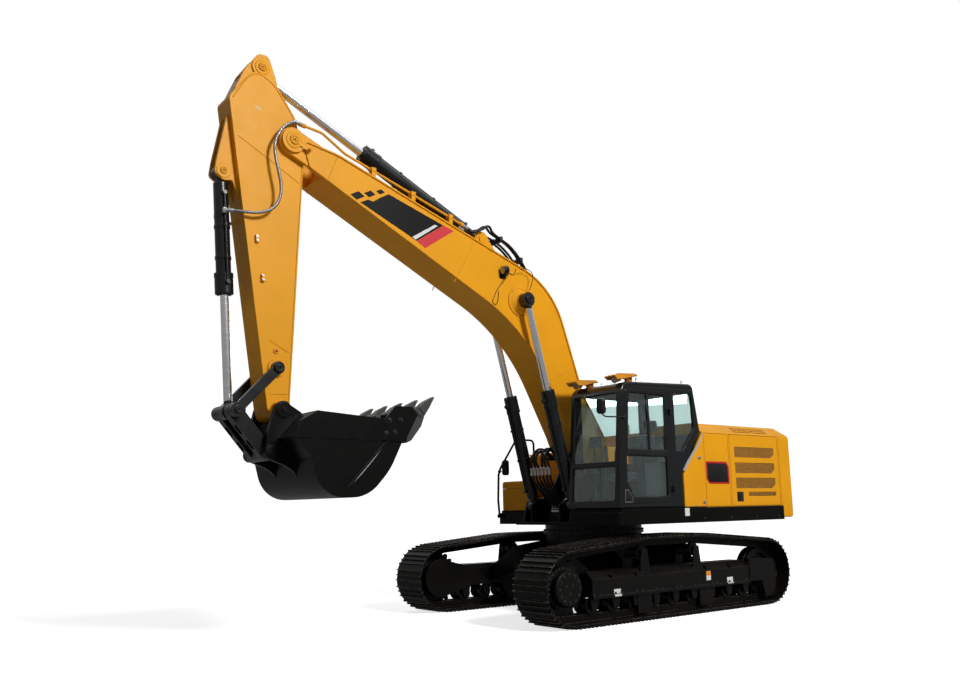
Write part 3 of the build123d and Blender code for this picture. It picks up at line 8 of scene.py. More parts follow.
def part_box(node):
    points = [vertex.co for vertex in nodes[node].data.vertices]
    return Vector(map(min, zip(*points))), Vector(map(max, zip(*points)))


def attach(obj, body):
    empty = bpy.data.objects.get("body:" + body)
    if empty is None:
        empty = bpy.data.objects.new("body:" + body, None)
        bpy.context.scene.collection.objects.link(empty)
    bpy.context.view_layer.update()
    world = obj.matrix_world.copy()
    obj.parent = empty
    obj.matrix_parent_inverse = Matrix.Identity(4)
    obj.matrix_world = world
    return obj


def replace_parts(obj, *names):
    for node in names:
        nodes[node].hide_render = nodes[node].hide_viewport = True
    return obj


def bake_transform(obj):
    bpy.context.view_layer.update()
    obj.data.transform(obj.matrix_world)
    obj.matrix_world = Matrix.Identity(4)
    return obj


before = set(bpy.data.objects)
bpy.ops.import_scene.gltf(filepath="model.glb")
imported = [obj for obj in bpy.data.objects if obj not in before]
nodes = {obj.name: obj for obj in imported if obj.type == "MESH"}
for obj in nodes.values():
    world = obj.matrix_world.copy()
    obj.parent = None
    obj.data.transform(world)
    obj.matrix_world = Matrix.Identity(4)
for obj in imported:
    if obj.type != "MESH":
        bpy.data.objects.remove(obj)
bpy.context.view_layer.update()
scene = bpy.context.scene


# ================================================================ car body and track frames
# The lower frame is cut from thick plate and welded: a round turntable seat, four box
# legs and two long side frames.  It is shot-blasted and sprayed in one satin, nearly
# black enamel, and a film of yard dust settles on it.

class Term:
    """A shader socket that takes part in arithmetic."""

    def __init__(self, finish, socket):
        self.finish, self.socket = finish, socket

    def math(self, operation, *others):
        return self.finish.add("ShaderNodeMath", {"operation": operation}, dict(enumerate((self, *others))))

    def __add__(self, other):
        return self.math("ADD", other)

    def __sub__(self, other):
        return self.math("SUBTRACT", other)

    def __mul__(self, other):
        return self.math("MULTIPLY", other)

    def __pow__(self, other):
        return self.math("POWER", other)

    def __lt__(self, other):
        return self.math("LESS_THAN", other)

    def __gt__(self, other):
        return self.math("GREATER_THAN", other)

    def __rsub__(self, other):
        return self.finish.number(other) - self

    __radd__, __rmul__ = __add__, __mul__

    def __abs__(self):
        return self.math("ABSOLUTE")

    def most(self, other):
        return self.math("MAXIMUM", other)

    def clamp(self):
        return self.finish.add("ShaderNodeClamp", {}, {"Value": self})

    def ramp(self, low, high, to_low=0.0, to_high=1.0):
        """Smooth step from one level to another between two values."""
        return self.finish.add("ShaderNodeMapRange", {"interpolation_type": "SMOOTHSTEP"},
                               {"Value": self, "From Min": low, "From Max": high,
                                "To Min": to_low, "To Max": to_high})


class Finish:
    """One material, built from Principled BSDF with terms for what varies over the surface."""

    def __init__(self, name, colour, roughness, metallic=0.0, **fixed):
        self.material = bpy.data.materials.new(name)
        self.material.use_nodes = True
        self.tree = self.material.node_tree
        self.shader = self.tree.nodes["Principled BSDF"]
        self.set(Base_Color=colour, Roughness=roughness, Metallic=metallic, **fixed)

    def set(self, **sockets):
        for name, value in sockets.items():
            self.feed(self.shader.inputs[name.replace("_", " ")], value)

    def feed(self, socket, value):
        if isinstance(value, Term):
            self.tree.links.new(value.socket, socket)
        elif isinstance(value, (tuple, list)) and len(value) == 3 and socket.type == "RGBA":
            socket.default_value = (*value, 1.0)
        else:
            socket.default_value = value

    def add(self, kind, settings, sockets, out=0):
        """Any node: its type, its settings, its sockets' values or links, and the output wanted."""
        node = self.tree.nodes.new(kind)
        for key, value in settings.items():
            setattr(node, key, value)
        for key, value in sockets.items():
            self.feed(node.inputs[key], value)
        return Term(self, node.outputs[out])

    def number(self, value):
        return self.add("ShaderNodeMath", {"operation": "ADD"}, {0: value, 1: 0.0})

    def place(self, axis=None):
        """Object coordinates, or one of them."""
        place = self.add("ShaderNodeTexCoord", {}, {}, "Object")
        return self.add("ShaderNodeSeparateXYZ", {}, {"Vector": place}, axis) if axis else place

    def stretched(self, x=1.0, y=1.0, z=1.0):
        return self.add("ShaderNodeMapping", {}, {"Vector": self.place(), "Scale": (x, y, z)})

    def noise(self, scale, detail=3.0, roughness=0.55, vector=None):
        return self.add("ShaderNodeTexNoise", {}, {"Vector": vector or self.place(), "Scale": scale,
                                                   "Detail": detail, "Roughness": roughness})

    def mix(self, factor, first, second):
        """Colour between two, by a factor."""
        return self.add("ShaderNodeMix", {"data_type": "RGBA"}, {0: factor, 6: first, 7: second}, 2)

    def rounded(self, radius):
        """Normal of the surface with its edges eased by a small radius."""
        return self.add("ShaderNodeBevel", {"samples": 4}, {"Radius": radius})

    def edges(self, eased):
        """Where the eased normal leaves the true one: 1 on the arrises, 0 on the flats."""
        true = self.add("ShaderNodeNewGeometry", {}, {}, "Normal")
        along = self.add("ShaderNodeVectorMath", {"operation": "DOT_PRODUCT"}, {0: eased, 1: true}, "Value")
        return (1.0 - along).ramp(0.02, 0.25)

    def facing_up(self):
        true = self.add("ShaderNodeNewGeometry", {}, {}, "Normal")
        return self.add("ShaderNodeSeparateXYZ", {}, {"Vector": true}, "Z").clamp()

    def bump(self, height, strength, distance, eased=None):
        sockets = {"Height": height, "Strength": strength, "Distance": distance}
        if eased:
            sockets["Normal"] = eased
        return self.add("ShaderNodeBump", {}, sockets)


def enamel(name, colour, roughness, dust=0.0, dust_colour=(0.20, 0.165, 0.125), edge=0.006, peel=0.0006,
           wear=0.0, bare=(0.16, 0.15, 0.14), gloss=0.35, drift=0.06, mask=None, under=None, metallic=0.0):
    """Sprayed enamel on steel: slight orange peel, tone drift, dust on top faces, worn arrises."""
    finish = Finish(name, colour, roughness, metallic, Specular_IOR_Level=gloss)
    eased = finish.rounded(edge)
    dark, light = (tuple(min(1.0, c * share) for c in colour) for share in (1.0 - drift, 1.0 + drift))
    tone = finish.mix(finish.noise(1.3, 4.0).ramp(0.35, 0.65), dark, light)
    rough = roughness + (finish.noise(7.0, 5.0) - 0.5) * 0.16
    if mask:
        tone = finish.mix(mask(finish), tone, under)
    if dust:
        specks = finish.noise(3.2, 7.0, 0.68)
        film = (finish.facing_up() * 0.75 + 0.25) * specks.ramp(0.38, 0.72) * dust
        tone = finish.mix(film.clamp(), tone, dust_colour)
        rough = rough + film * 0.35
    if wear:
        chipped = finish.edges(eased) * finish.noise(26.0, 5.0, 0.7).ramp(0.46, 0.56) * wear
        tone = finish.mix(chipped.clamp(), tone, bare)
        finish.set(Metallic=chipped.clamp() * 0.6)
    height = finish.noise(160.0, 1.0) * 0.6 + finish.noise(38.0, 2.0) * 0.4
    finish.set(Base_Color=tone, Roughness=rough.clamp(), Normal=finish.bump(height, 0.35, peel, eased))
    return finish.material


def faceted(name, colour, roughness, scale, span, light, dark, rough, depth, metallic=0.0, metal=0.0):
    """Finish with a fine cell pattern, as beads, prisms and crossed strands have."""
    finish = Finish(name, colour, roughness, metallic)
    cells = finish.add("ShaderNodeTexVoronoi", {}, {"Vector": finish.place(), "Scale": scale})
    finish.set(Base_Color=finish.mix(cells.ramp(*span), light, dark), Roughness=rough[0] + cells * rough[1],
               Normal=finish.bump(cells, *depth))
    if metal:
        finish.set(Metallic=metallic + cells * metal)
    return finish.material


def dress(material, *names):
    """Give CAD nodes one finish."""
    for name in names:
        mesh = nodes[name].data
        mesh.materials.clear()
        mesh.materials.append(material)


slew_x = sum(corner[0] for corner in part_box("slew_ring")) / 2


def at(x, y, z):
    """Row-frame point of a place in millimetres from the slewing axis and the ground."""
    return Vector((x / 1000 + slew_x, y / 1000, z / 1000))


def circle(count, radius=1.0, start=0.0):
    """Pairs of coordinates round a circle about the origin."""
    angles = [start + 2 * pi * i / count for i in range(count)]
    return [(radius * cos(angle), radius * sin(angle)) for angle in angles]


class Graph:
    """A Geometry Nodes tree with named sizes, which ends realized and with its finish set."""

    def __init__(self, name, **sizes):
        self.tree = bpy.data.node_groups.new(name, "GeometryNodeTree")
        face = self.tree.interface
        face.new_socket("Geometry", in_out="INPUT", socket_type="NodeSocketGeometry")
        for key, value in sizes.items():
            kind = "NodeSocketInt" if isinstance(value, int) else "NodeSocketFloat"
            face.new_socket(key, in_out="INPUT", socket_type=kind).default_value = value
        face.new_socket("Finish", in_out="INPUT", socket_type="NodeSocketMaterial")
        face.new_socket("Geometry", in_out="OUTPUT", socket_type="NodeSocketGeometry")
        self.given = self.tree.nodes.new("NodeGroupInput").outputs
        self.end = self.tree.nodes.new("NodeGroupOutput")

    def add(self, kind, settings=(), **sockets):
        """Any node: its type, its settings, and the values or links of its sockets."""
        node = self.tree.nodes.new(kind)
        for key, value in dict(settings).items():
            setattr(node, key, value)
        for key, value in sockets.items():
            socket = node.inputs[int(key[1:]) if key[1:].isdigit() else key.replace("_", " ")]
            for item in value if isinstance(value, list) else [value]:
                if isinstance(item, bpy.types.Node):
                    item = item.outputs[0]
                if isinstance(item, bpy.types.NodeSocket):
                    self.tree.links.new(item, socket)
                else:
                    socket.default_value = item
        return node

    def attribute(self, name, kind="FLOAT"):
        return self.add("GeometryNodeInputNamedAttribute", {"data_type": kind}, Name=name)

    def turn(self, axis, angle):
        return self.add("FunctionNodeAxisAngleToRotation", Axis=axis, Angle=angle)

    def close(self, geometry):
        realized = self.add("GeometryNodeRealizeInstances", Geometry=geometry)
        dressed = self.add("GeometryNodeSetMaterial", Geometry=realized, Material=self.given["Finish"])
        self.tree.links.new(dressed.outputs[0], self.end.inputs[0])
        return self

    def scatter(self, item, rotation, **scale):
        """One item on every point of the base mesh."""
        return self.close(self.add("GeometryNodeInstanceOnPoints", Points=self.given["Geometry"],
                                   Instance=item, Rotation=rotation, **scale))

    def skinned(self, line, sides, **scale):
        """Round skin along a curve, with smooth faces."""
        ring = self.add("GeometryNodeCurvePrimitiveCircle", Resolution=sides, Radius=self.given["Radius"])
        skin = self.add("GeometryNodeCurveToMesh", Curve=line, Profile_Curve=ring, Fill_Caps=True, **scale)
        return self.close(self.add("GeometryNodeSetShadeSmooth", Geometry=skin))

    def make(self, name, body, base, material, slot=None, **sizes):
        """Run the tree on a base mesh and keep the result as a plain mesh that rides on a body."""
        holder = bpy.data.objects.new(name + "_base", base)
        scene.collection.objects.link(holder)
        modifier = holder.modifiers.new("tree", "NODES")
        modifier.node_group = self.tree
        sizes["Finish"] = material
        for item in self.tree.interface.items_tree:
            if item.in_out == "INPUT" and item.name in sizes:
                modifier[item.identifier] = sizes[item.name]
        made = holder.evaluated_get(bpy.context.evaluated_depsgraph_get())
        mesh = bpy.data.meshes.new_from_object(made)
        holder.modifiers.remove(modifier)
        bpy.data.objects.remove(holder)
        return keep(name, body, mesh, None)


def keep(name, body, mesh, material=None):
    """A finished piece: its mesh in the row frame, its finish, and the body it rides on."""
    piece = bpy.data.objects.new(name, mesh)
    if material:
        mesh.materials.clear()
        mesh.materials.append(material)
    scene.collection.objects.link(piece)
    if body:
        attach(piece, body)
    return piece


def marks(points, edges=(), **facts):
    """Base mesh of points, with a value or a vector on each where a tree needs one."""
    mesh = bpy.data.meshes.new("marks")
    mesh.from_pydata([tuple(p) for p in points], list(edges), [])
    for name, values in facts.items():
        vector = hasattr(values[0], "__len__")
        layer = mesh.attributes.new(name, "FLOAT_VECTOR" if vector else "FLOAT", "POINT")
        for item, value in zip(layer.data, values):
            if vector:
                item.vector = value
            else:
                item.value = value
    return mesh


def hex_bolts():
    """Hexagon head with a chamfered crown on a round washer, one on every point."""
    graph = Graph("hexagon bolts", Seed=4)
    head = graph.add("GeometryNodeMeshCylinder", Vertices=6, Radius=0.577, Depth=0.48)
    crown = graph.add("GeometryNodeExtrudeMesh", Mesh=head, Selection=head.outputs["Top"], Offset_Scale=0.1)
    crown = graph.add("GeometryNodeScaleElements", Geometry=crown, Selection=crown.outputs["Top"],
                      Scale=0.82)
    head = graph.add("GeometryNodeTransform", Geometry=crown, Translation=(0.0, 0.0, 0.36))
    washer = graph.add("GeometryNodeMeshCylinder", Vertices=14, Radius=0.92, Depth=0.14)
    washer = graph.add("GeometryNodeTransform", Geometry=washer, Translation=(0.0, 0.0, 0.05))
    bolt = graph.add("GeometryNodeJoinGeometry", Geometry=[head, washer])
    facing = graph.add("FunctionNodeAlignRotationToVector", {"axis": "Z"},
                       Vector=graph.attribute("axis", "FLOAT_VECTOR"))
    angle = graph.add("FunctionNodeRandomValue", {"data_type": "FLOAT"}, i2=0.0, i3=pi / 3,
                      Seed=graph.given["Seed"])
    facing = graph.add("FunctionNodeRotateRotation", {"rotation_space": "LOCAL"}, Rotation=facing,
                       Rotate_By=graph.turn((0.0, 0.0, 1.0), angle.outputs[1]))
    return graph.scatter(bolt, facing, Scale=graph.attribute("across"))


bolts = hex_bolts()


def bolt_up(name, body, rows, material, slot=None):
    """Bolts from rows of (place in mm, axis, width across the flats in mm)."""
    places, axes, widths = zip(*rows)
    base = marks([at(*p) for p in places], axis=axes, across=[w / 1000 for w in widths])
    return bolts.make(name, body, base, material, slot)


def oblong(x0, z0, x1, z1):
    """Corners of an upright rectangle."""
    return [(x0, z0), (x1, z0), (x1, z1), (x0, z1)]


def ring_of(x, z, y, radius, count, side, width, start=0.0):
    """Bolt rows round a centre, on a face square to Y."""
    return [((x + u, side * y, z + v), (0, side, 0), width) for u, v in circle(count, radius, start)]


def on_sides(rows):
    """Bolt rows on both sides, from x, y, z, width, and an axis where that isn't straight out."""
    return [((x, side * y, z), axis[0] if axis else (0, side, 0), width)
            for side in (1, -1) for x, y, z, width, *axis in rows]


frame_enamel = enamel("frame enamel", (0.0034, 0.0030, 0.0026), 0.36, dust=0.05, wear=0.3, edge=0.010,
                      gloss=0.16)
dress(frame_enamel, "car_body", "left_track_frame", "right_track_frame", "left_rollers", "right_rollers",
      "left_idler", "right_idler", "left_sprocket", "right_sprocket")
bolt_steel = enamel("blacked bolts", (0.012, 0.011, 0.010), 0.34, dust=0.05, wear=0.5, edge=0.002,
                    gloss=0.4)

gauge, drive_x, drive_z = 1295, 1970, 472
roller_x, roller_pitch = -1560, 382.5
frame_rows = []
hub_rings = ((225, 165, 12, 24, 0), (110, 233, 24, 22, 0), (225, 60, 3, 20, 0.5))
for side in (1, -1):
    for face, radius, count, width, start in hub_rings:
        frame_rows += ring_of(drive_x, drive_z, gauge + face, radius, count, side, width, start)
    frame_rows += [((roller_x + i * roller_pitch + dx, side * 1500, 366), (0, side, 0), 22)
                   for i in range(9) for dx in (-52, 52)]
bolt_up("frame_bolts", "undercarriage", frame_rows, bolt_steel, "dark_steel")


class Form:
    """Mesh under construction in millimetres: plates, blocks and turned parts in one piece."""

    def __init__(self):
        self.bm = bmesh.new()

    def skin(self, loops):
        """Closed skin over loops of points, one after the other."""
        loops = [[self.bm.verts.new(point) for point in loop] for loop in loops]
        faces = [self.bm.faces.new(loops[0][::-1]), self.bm.faces.new(loops[-1])]
        for one, two in zip(loops, loops[1:]):
            for i in range(len(one)):
                j = (i + 1) % len(one)
                faces.append(self.bm.faces.new((one[i], one[j], two[j], two[i])))
        return faces

    def plate(self, outline, y_low, y_high, ease=0):
        """Outline of x, z points between two heights along Y, with its edges eased."""
        faces = self.skin([[at(x, y, z) for x, z in outline] for y in (y_high, y_low)])
        if ease:
            bmesh.ops.bevel(self.bm, geom=list({e for f in faces for e in f.edges}), offset=ease / 1000,
                            segments=2, profile=0.5, affect="EDGES", clamp_overlap=True)
        return self

    def plates(self, outline, near, far, ease=0):
        """The same plate on both sides of the machine."""
        for side in (1, -1):
            self.plate(outline, *sorted((side * near, side * far)), ease)
        return self

    def block(self, low, high, ease=0):
        (x0, y0, z0), (x1, y1, z1) = low, high
        return self.plate(oblong(x0, z0, x1, z1), y0, y1, ease)

    def turned(self, rows, start, end, sides=20):
        """Round part: rows of distance and radius along the line from start towards end."""
        start, end = at(*start), at(*end)
        along = (end - start).normalized()
        across = along.orthogonal().normalized()
        third = along.cross(across)
        self.skin([[start + along * distance / 1000 + (across * u + third * v) * radius / 1000
                    for u, v in circle(sides)] for distance, radius in rows])
        return self

    def keep(self, name, body, material, slot=None):
        bmesh.ops.recalc_face_normals(self.bm, faces=self.bm.faces)
        mesh = bpy.data.meshes.new("form")
        self.bm.to_mesh(mesh)
        self.bm.free()
        mesh.polygons.foreach_set("use_smooth", [True] * len(mesh.polygons))
        mesh.set_sharp_from_angle(angle=radians(32))
        return keep(name, body, mesh, material)


def decal_film(name, colour, second=None, split=None):
    """Printed film: flat colour with fine dirt, and a faint gloss."""
    finish = Finish(name, colour, 0.42, Specular_IOR_Level=0.12)
    tone = finish.mix(finish.noise(9.0, 4.0).ramp(0.3, 0.7), colour, tuple(c * 0.88 for c in colour))
    if second:
        tone = finish.mix(split(finish), tone, second)
    finish.set(Base_Color=tone, Roughness=0.36 + finish.noise(24.0, 3.0) * 0.14,
               Normal=finish.bump(finish.noise(60.0, 2.0), 0.12, 0.0006))
    return finish.material


white_film = decal_film("white film", (0.72, 0.72, 0.70))
amber_film = decal_film("amber film", (0.85, 0.30, 0.03), (0.72, 0.72, 0.70),
                        lambda finish: finish.place("Z") < 0.475)
labels = Form()
for x0, z0, x1, z1 in ((1075, 330, 1195, 418), (-1204, 343, -1077, 430)):
    labels.block((x0, 1513, z0), (x1, 1515.6, min(z1, 356))).block((x0, 1499, 359), (x1, 1501.6, z1))
labels.keep("frame_labels", "undercarriage", white_film)
Form().block((-720, 1499, 414), (-626, 1501.6, 536)) \
    .keep("frame_caution_plate", "undercarriage", amber_film)


# ================================================================ tracks
# Each track is a loop of forged links with a rolled three-bar shoe bolted to each.
# The shoes are heat-treated steel, dipped black, and the bars wear bright on the ground.

shoe_steel = enamel("shoe steel", (0.0036, 0.0031, 0.0024), 0.42, dust=0.06, wear=1.0, edge=0.008,
                    bare=(0.30, 0.25, 0.19), gloss=0.13, dust_colour=(0.13, 0.10, 0.07))
dress(shoe_steel, "left_track", "right_track")


# ================================================================ slewing ring
# A forged ring with an inner gear turns the upper structure.  Its outer race is bolted down
# all round and stays oily and dark.

ring_steel = enamel("ring steel", (0.006, 0.0055, 0.005), 0.35, dust=0.05, wear=0.4, gloss=0.2)
dress(ring_steel, "slew_ring")
bolt_up("slew_ring_bolts", "undercarriage", [((u, v, 1108), (0, 0, 1), 26) for u, v in circle(44, 712)],
        bolt_steel)


# ================================================================ swing frame and decks
# A welded frame carries everything that turns: two plates for the boom foot, box sills
# with folded edges and a flat deck.  Its black enamel is a little glossier than the tracks'.

deck_enamel = enamel("deck enamel", (0.0028, 0.0026, 0.0020), 0.30, dust=0.012, edge=0.012, gloss=0.09)
dress(deck_enamel, "swing_frame", "left_deck", "right_deck", "right_rail")
Form().block((-377, 1475, 1290), (-281, 1477.6, 1397)).keep("sill_label", "upper", white_film)


def tread_grip():
    """Raised lozenges of a rolled chequer plate, one on every point."""
    graph = Graph("chequer plate", Length=0.026, Width=0.007, Height=0.0022)
    bar = graph.add("GeometryNodeMeshCylinder", Vertices=8, Radius=1.0, Depth=1.0)
    crown = graph.add("GeometryNodeScaleElements", Geometry=bar, Selection=bar.outputs["Top"], Scale=0.7)
    size = graph.add("ShaderNodeCombineXYZ", X=graph.given["Length"], Y=graph.given["Width"],
                     Z=graph.given["Height"])
    crown = graph.add("GeometryNodeTransform", Geometry=crown, Scale=size)
    return graph.scatter(crown, graph.turn((0.0, 0.0, 1.0), graph.attribute("turn")))


def chequer(name, x_low, x_high, y_low, y_high, z, pitch=52):
    """Chequer plate lozenges over a deck field, turned one way and the other in turn."""
    cells = [(i, j) for i in range(int((x_high - x_low) / pitch))
             for j in range(int((y_high - y_low) / pitch))]
    places = [at(x_low + (i + 0.5) * pitch, y_low + (j + 0.5) * pitch, z) for i, j in cells]
    turns = [pi / 4 if (i + j) % 2 else -pi / 4 for i, j in cells]
    tread.make(name, "upper", marks(places, turn=turns), deck_enamel)


tread = tread_grip()
chequer("left_step_tread", 560, 1000, 640, 1400, 1366)
chequer("right_step_tread", 120, 470, -1350, -520, 1404)
bolt_up("deck_bolts", "upper", on_sides([(x, 1476, 1250, 20) for x in (-2450, -1900, -1300, -700)]),
        bolt_steel)


# ================================================================ counterweight, housing and doors
# The housing is folded from steel sheet and the counterweight is one thick casting; both are
# rubbed down and sprayed in the same warm yellow.  Perforated sheet closes the air grilles.

body_yellow = (0.78, 0.335, 0.008)


def painted_recess_shade(finish):
    """Painted shade on the inside faces and the fields behind the perforated sheet: the body yellow as it
    looks in shade.
    """
    across, outer, inner = abs(finish.place("Y")), 1.4475, 1.40
    return (across < outer) * (across > inner)


body_enamel = enamel("body enamel", body_yellow, 0.43, edge=0.012, peel=0.0004, gloss=0.16, drift=0.03)
# The doors' inside faces and the fields behind the perforated sheet get painted shade, a darkened body
# yellow.
door_enamel = enamel("door enamel", body_yellow, 0.43, edge=0.010, peel=0.0004, gloss=0.16, drift=0.03,
                     mask=painted_recess_shade, under=(0.05, 0.022, 0.010))
cast_enamel = enamel("casting enamel", body_yellow, 0.44, edge=0.02, peel=0.0014, gloss=0.13)
dress(body_enamel, "engine_housing", "engine_lid", "fuel_tank", "hydraulic_tank", "tool_box",
      "tool_box_lid")
dress(door_enamel, "left_front_door", "left_rear_door", "right_rear_door")
dress(cast_enamel, "counterweight")
dress(enamel("engine iron", (0.06, 0.06, 0.065), 0.5, dust=0.3), "engine_block")
dress(enamel("exhaust steel", (0.22, 0.19, 0.16), 0.45, dust=0.3), "exhaust_stub")


def perforated_sheet():
    """Square tile with a round hole, repeated over every point and turned upright."""
    graph = Graph("perforated sheet", Across=0.0152, Height=0.0132, Hole=0.0054)
    tile = graph.add("GeometryNodeCurvePrimitiveQuadrilateral", Width=graph.given["Across"],
                     Height=graph.given["Height"])
    hole = graph.add("GeometryNodeCurvePrimitiveCircle", Resolution=8, Radius=graph.given["Hole"])
    both = graph.add("GeometryNodeJoinGeometry", Geometry=[tile, hole])
    sheet = graph.add("GeometryNodeFillCurve", {"mode": "TRIANGLES"}, Curve=both)
    return graph.scatter(sheet, graph.turn((1.0, 0.0, 0.0), graph.attribute("turn")))


perforated = perforated_sheet()
hole_pitch, hole_rise, sheet_y, clip_slope = 15, 13, 1447.6, 1.4
tall_fields, tall_half, low_field, low_half = (2190, 1960, 1740), 77, 1580, 31


def grille(name, body, side, x_low, x_high):
    """The three tall fields and the low one of a door, each with its clipped lower rear corner."""
    places = []
    fields = [(z, tall_half, x_high, 62) for z in tall_fields] + [(low_field, low_half, x_high - 290, 22)]
    for z, half, front, clip in fields:
        rows = round(half * 2 / hole_rise)
        for j in range(rows):
            height = z - half + (j + 0.5) * half * 2 / rows
            cut = max(0, 1 - (height - z + half) / clip) * clip * clip_slope
            shift = hole_pitch / 2 if j % 2 else 0
            count = int((front - x_low - cut + hole_pitch * 0.6) / hole_pitch)
            places += [at(front - shift - i * hole_pitch, side * sheet_y, height) for i in range(count)]
    perforated.make(name, body, marks(places, turn=[-side * pi / 2] * len(places)), sheet_enamel, "paint")


sheet_enamel = enamel("perforated enamel", (0.50, 0.23, 0.040), 0.45, dust=0.15, edge=0.001, gloss=0.12)
grille("left_door_grille", "left_rear_door", 1, -2464, -1495)
grille("right_door_grille", "right_rear_door", -1, -2464, -1550)

latch_black = enamel("latch moulding", (0.010, 0.010, 0.010), 0.40, edge=0.003, gloss=0.25)
zinc = enamel("zinc plate", (0.42, 0.42, 0.41), 0.32, edge=0.002, gloss=0.5, metallic=0.9)
rubber = enamel("seal rubber", (0.006, 0.006, 0.006), 0.5, edge=0.002, gloss=0.15)


def latch(name, body, side, x0, z0, x1, z1):
    """Flush paddle latch: bezel, sunk pocket floor and lock."""
    form, middle = Form(), (x0 + x1) / 2
    for inset, foot, head, near, far, ease in ((0, 0, 0, 1448, 1456, 5), (18, 34, 16, 1455, 1462, 4)):
        y0, y1 = sorted((side * near, side * far))
        form.block((x0 + inset, y0, z0 + foot), (x1 - inset, y1, z1 - head), ease)
    form.turned([(0, 10), (4, 10), (5.5, 8)], (middle, side * 1454, z0 + 19),
                (middle, side * 1480, z0 + 19))
    form.keep(name, body, latch_black)


latch("grille_door_latch", "left_rear_door", 1, -1648, 1473, -1500, 1614)
latch("pump_door_latch", "right_rear_door", -1, -1708, 1473, -1560, 1614)
locks = Form()
for x, z in ((-679, 2092), (-742, 1473)):
    locks.turned([(0, 30), (6, 30), (8, 27), (8.5, 14), (13, 13), (14, 11)], (x, 1449, z), (x, 1500, z))
locks.keep("housing_locks", "upper", zinc)
for name, film, colour, y, outline in (
        ("badge_rim", "badge red", (0.50, 0.014, 0.020), 1449,
         [(-1340, 1726), (-875, 1726), (-820, 1795), (-820, 2044), (-1285, 2044), (-1340, 1976)]),
        ("badge_place", "badge black", (0.012, 0.012, 0.013), 1451,
         [(-1308, 1752), (-886, 1752), (-850, 1797), (-850, 2018), (-1271, 2018), (-1308, 1974)])):
    Form().plate(outline, y, y + 2.5, 1).keep(name, "left_front_door", decal_film(film, colour))
reflector = faceted("amber reflector", (0.9, 0.42, 0.03), 0.2, 240.0, (0.1, 0.7), (0.95, 0.55, 0.06),
                    (0.70, 0.28, 0.02), (0.16, 0.2), (0.5, 0.001))
Form().block((-2700, 1420, 1407), (-2646, 1445, 1604), 3).keep("side_reflector", "upper", reflector)


def drawn_tube(smooth):
    """Tube along each line, by a smooth curve through its points or with rounded corners."""
    graph = Graph("drawn tube" if smooth else "formed tube", Radius=0.01, Corner=0.03, Step=0.03, Sides=12)
    line = graph.add("GeometryNodeMeshToCurve", Mesh=graph.given["Geometry"])
    if smooth:
        line = graph.add("GeometryNodeCurveSplineType", {"spline_type": "BEZIER"}, Curve=line)
        line = graph.add("GeometryNodeCurveSetHandles", {"handle_type": "AUTO"}, Curve=line)
        line = graph.add("GeometryNodeResampleCurve", {"mode": "LENGTH"}, Curve=line,
                         Length=graph.given["Step"])
    else:
        line = graph.add("GeometryNodeFilletCurve", {"mode": "POLY"}, Curve=line, Count=6,
                         Radius=graph.given["Corner"], Limit_Radius=True)
    return graph.skinned(line, graph.given["Sides"])


smooth_tube, formed_tube = drawn_tube(True), drawn_tube(False)


def lines(routes, closed=False):
    """Base mesh of polylines through places in millimetres."""
    points, edges = [], []
    for route in routes:
        first = len(points)
        points += [at(*p) for p in route]
        edges += [(first + i, first + i + 1) for i in range(len(route) - 1)]
        if closed:
            edges.append((len(points) - 1, first))
    return marks(points, edges)


def tube(name, body, routes, radius, material, slot=None, corner=None, step=30, sides=8, closed=False):
    """Tube in millimetres along each route, with formed corners or else as a smooth curve."""
    graph = smooth_tube if corner is None else formed_tube
    return graph.make(name, body, lines(routes, closed), material, slot, Radius=radius / 1000,
                      Corner=(corner or 0) / 1000, Step=step / 1000, Sides=sides)


def seal(name, body, outlines, y, radius, corner, material=rubber):
    """Round profile along closed outlines of x, z points."""
    tube(name, body, [[(x, y, z) for x, z in line] for line in outlines], radius, material,
         corner=corner, closed=True)


satin_strip = enamel("satin strip", (0.34, 0.345, 0.35), 0.34, edge=0.002, gloss=0.4)
Form().plate([(-311, 1913), (-430, 2053), (-525, 2152), (-742, 2368), (-792, 2440), (-821, 2440),
              (-724, 2304), (-567, 2141), (-444, 2007), (-357, 1899)], 1449.5, 1455, 1.5) \
    .keep("housing_edge_strip", "upper", satin_strip)
for name, x0, x1, y in (("left_front_door_seal", -1354, -801, 1441),
                        ("left_rear_door_seal", -2573, -1386, 1441),
                        ("right_rear_door_seal", -2573, -1441, -1441)):
    seal(name, "upper", [oblong(x0, 1409, x1, 2444)], y, 3.4, 18)
lid_bolts = [((x, y, 2600), (0, 0, 1), 16) for x in (-2395, -1960, -1575) for y in (-1120, 1120)]
foot_bolts = [((x, side * 1450, 1424), (0, side, 0), 14)
              for side, x in ((1, -770), (1, -560), (1, -360), (-1, -1435))]
bolt_up("housing_bolts", "upper", lid_bolts + foot_bolts, zinc)
latches = Form()
for x in (175, 415):
    latches.block((x - 24, -1438, 1700), (x + 24, -1430, 1735), 3)
    latches.block((x - 16, -1442, 1665), (x + 16, -1431, 1702), 3)
latches.keep("tool_box_latches", "upper", zinc)
Form().turned([(0, 26), (10, 26), (13, 20)], (-395, -1430, 1840), (-395, -1500, 1840)) \
    .block((-421, -1433, 1560), (-369, -1429, 1800), 3).keep("tank_gauge", "upper", latch_black)


# ================================================================ cab
# A frame of drawn tube and pressed panels, sprayed charcoal, with green-tinted glass held in
# black rubber.  The door hangs on two pins behind its rear edge and slides one half pane.

cab_enamel = enamel("cab enamel", (0.0040, 0.0048, 0.0056), 0.20, edge=0.014, gloss=0.42, drift=0.05)
dress(cab_enamel, "cab_shell", "cab_door")


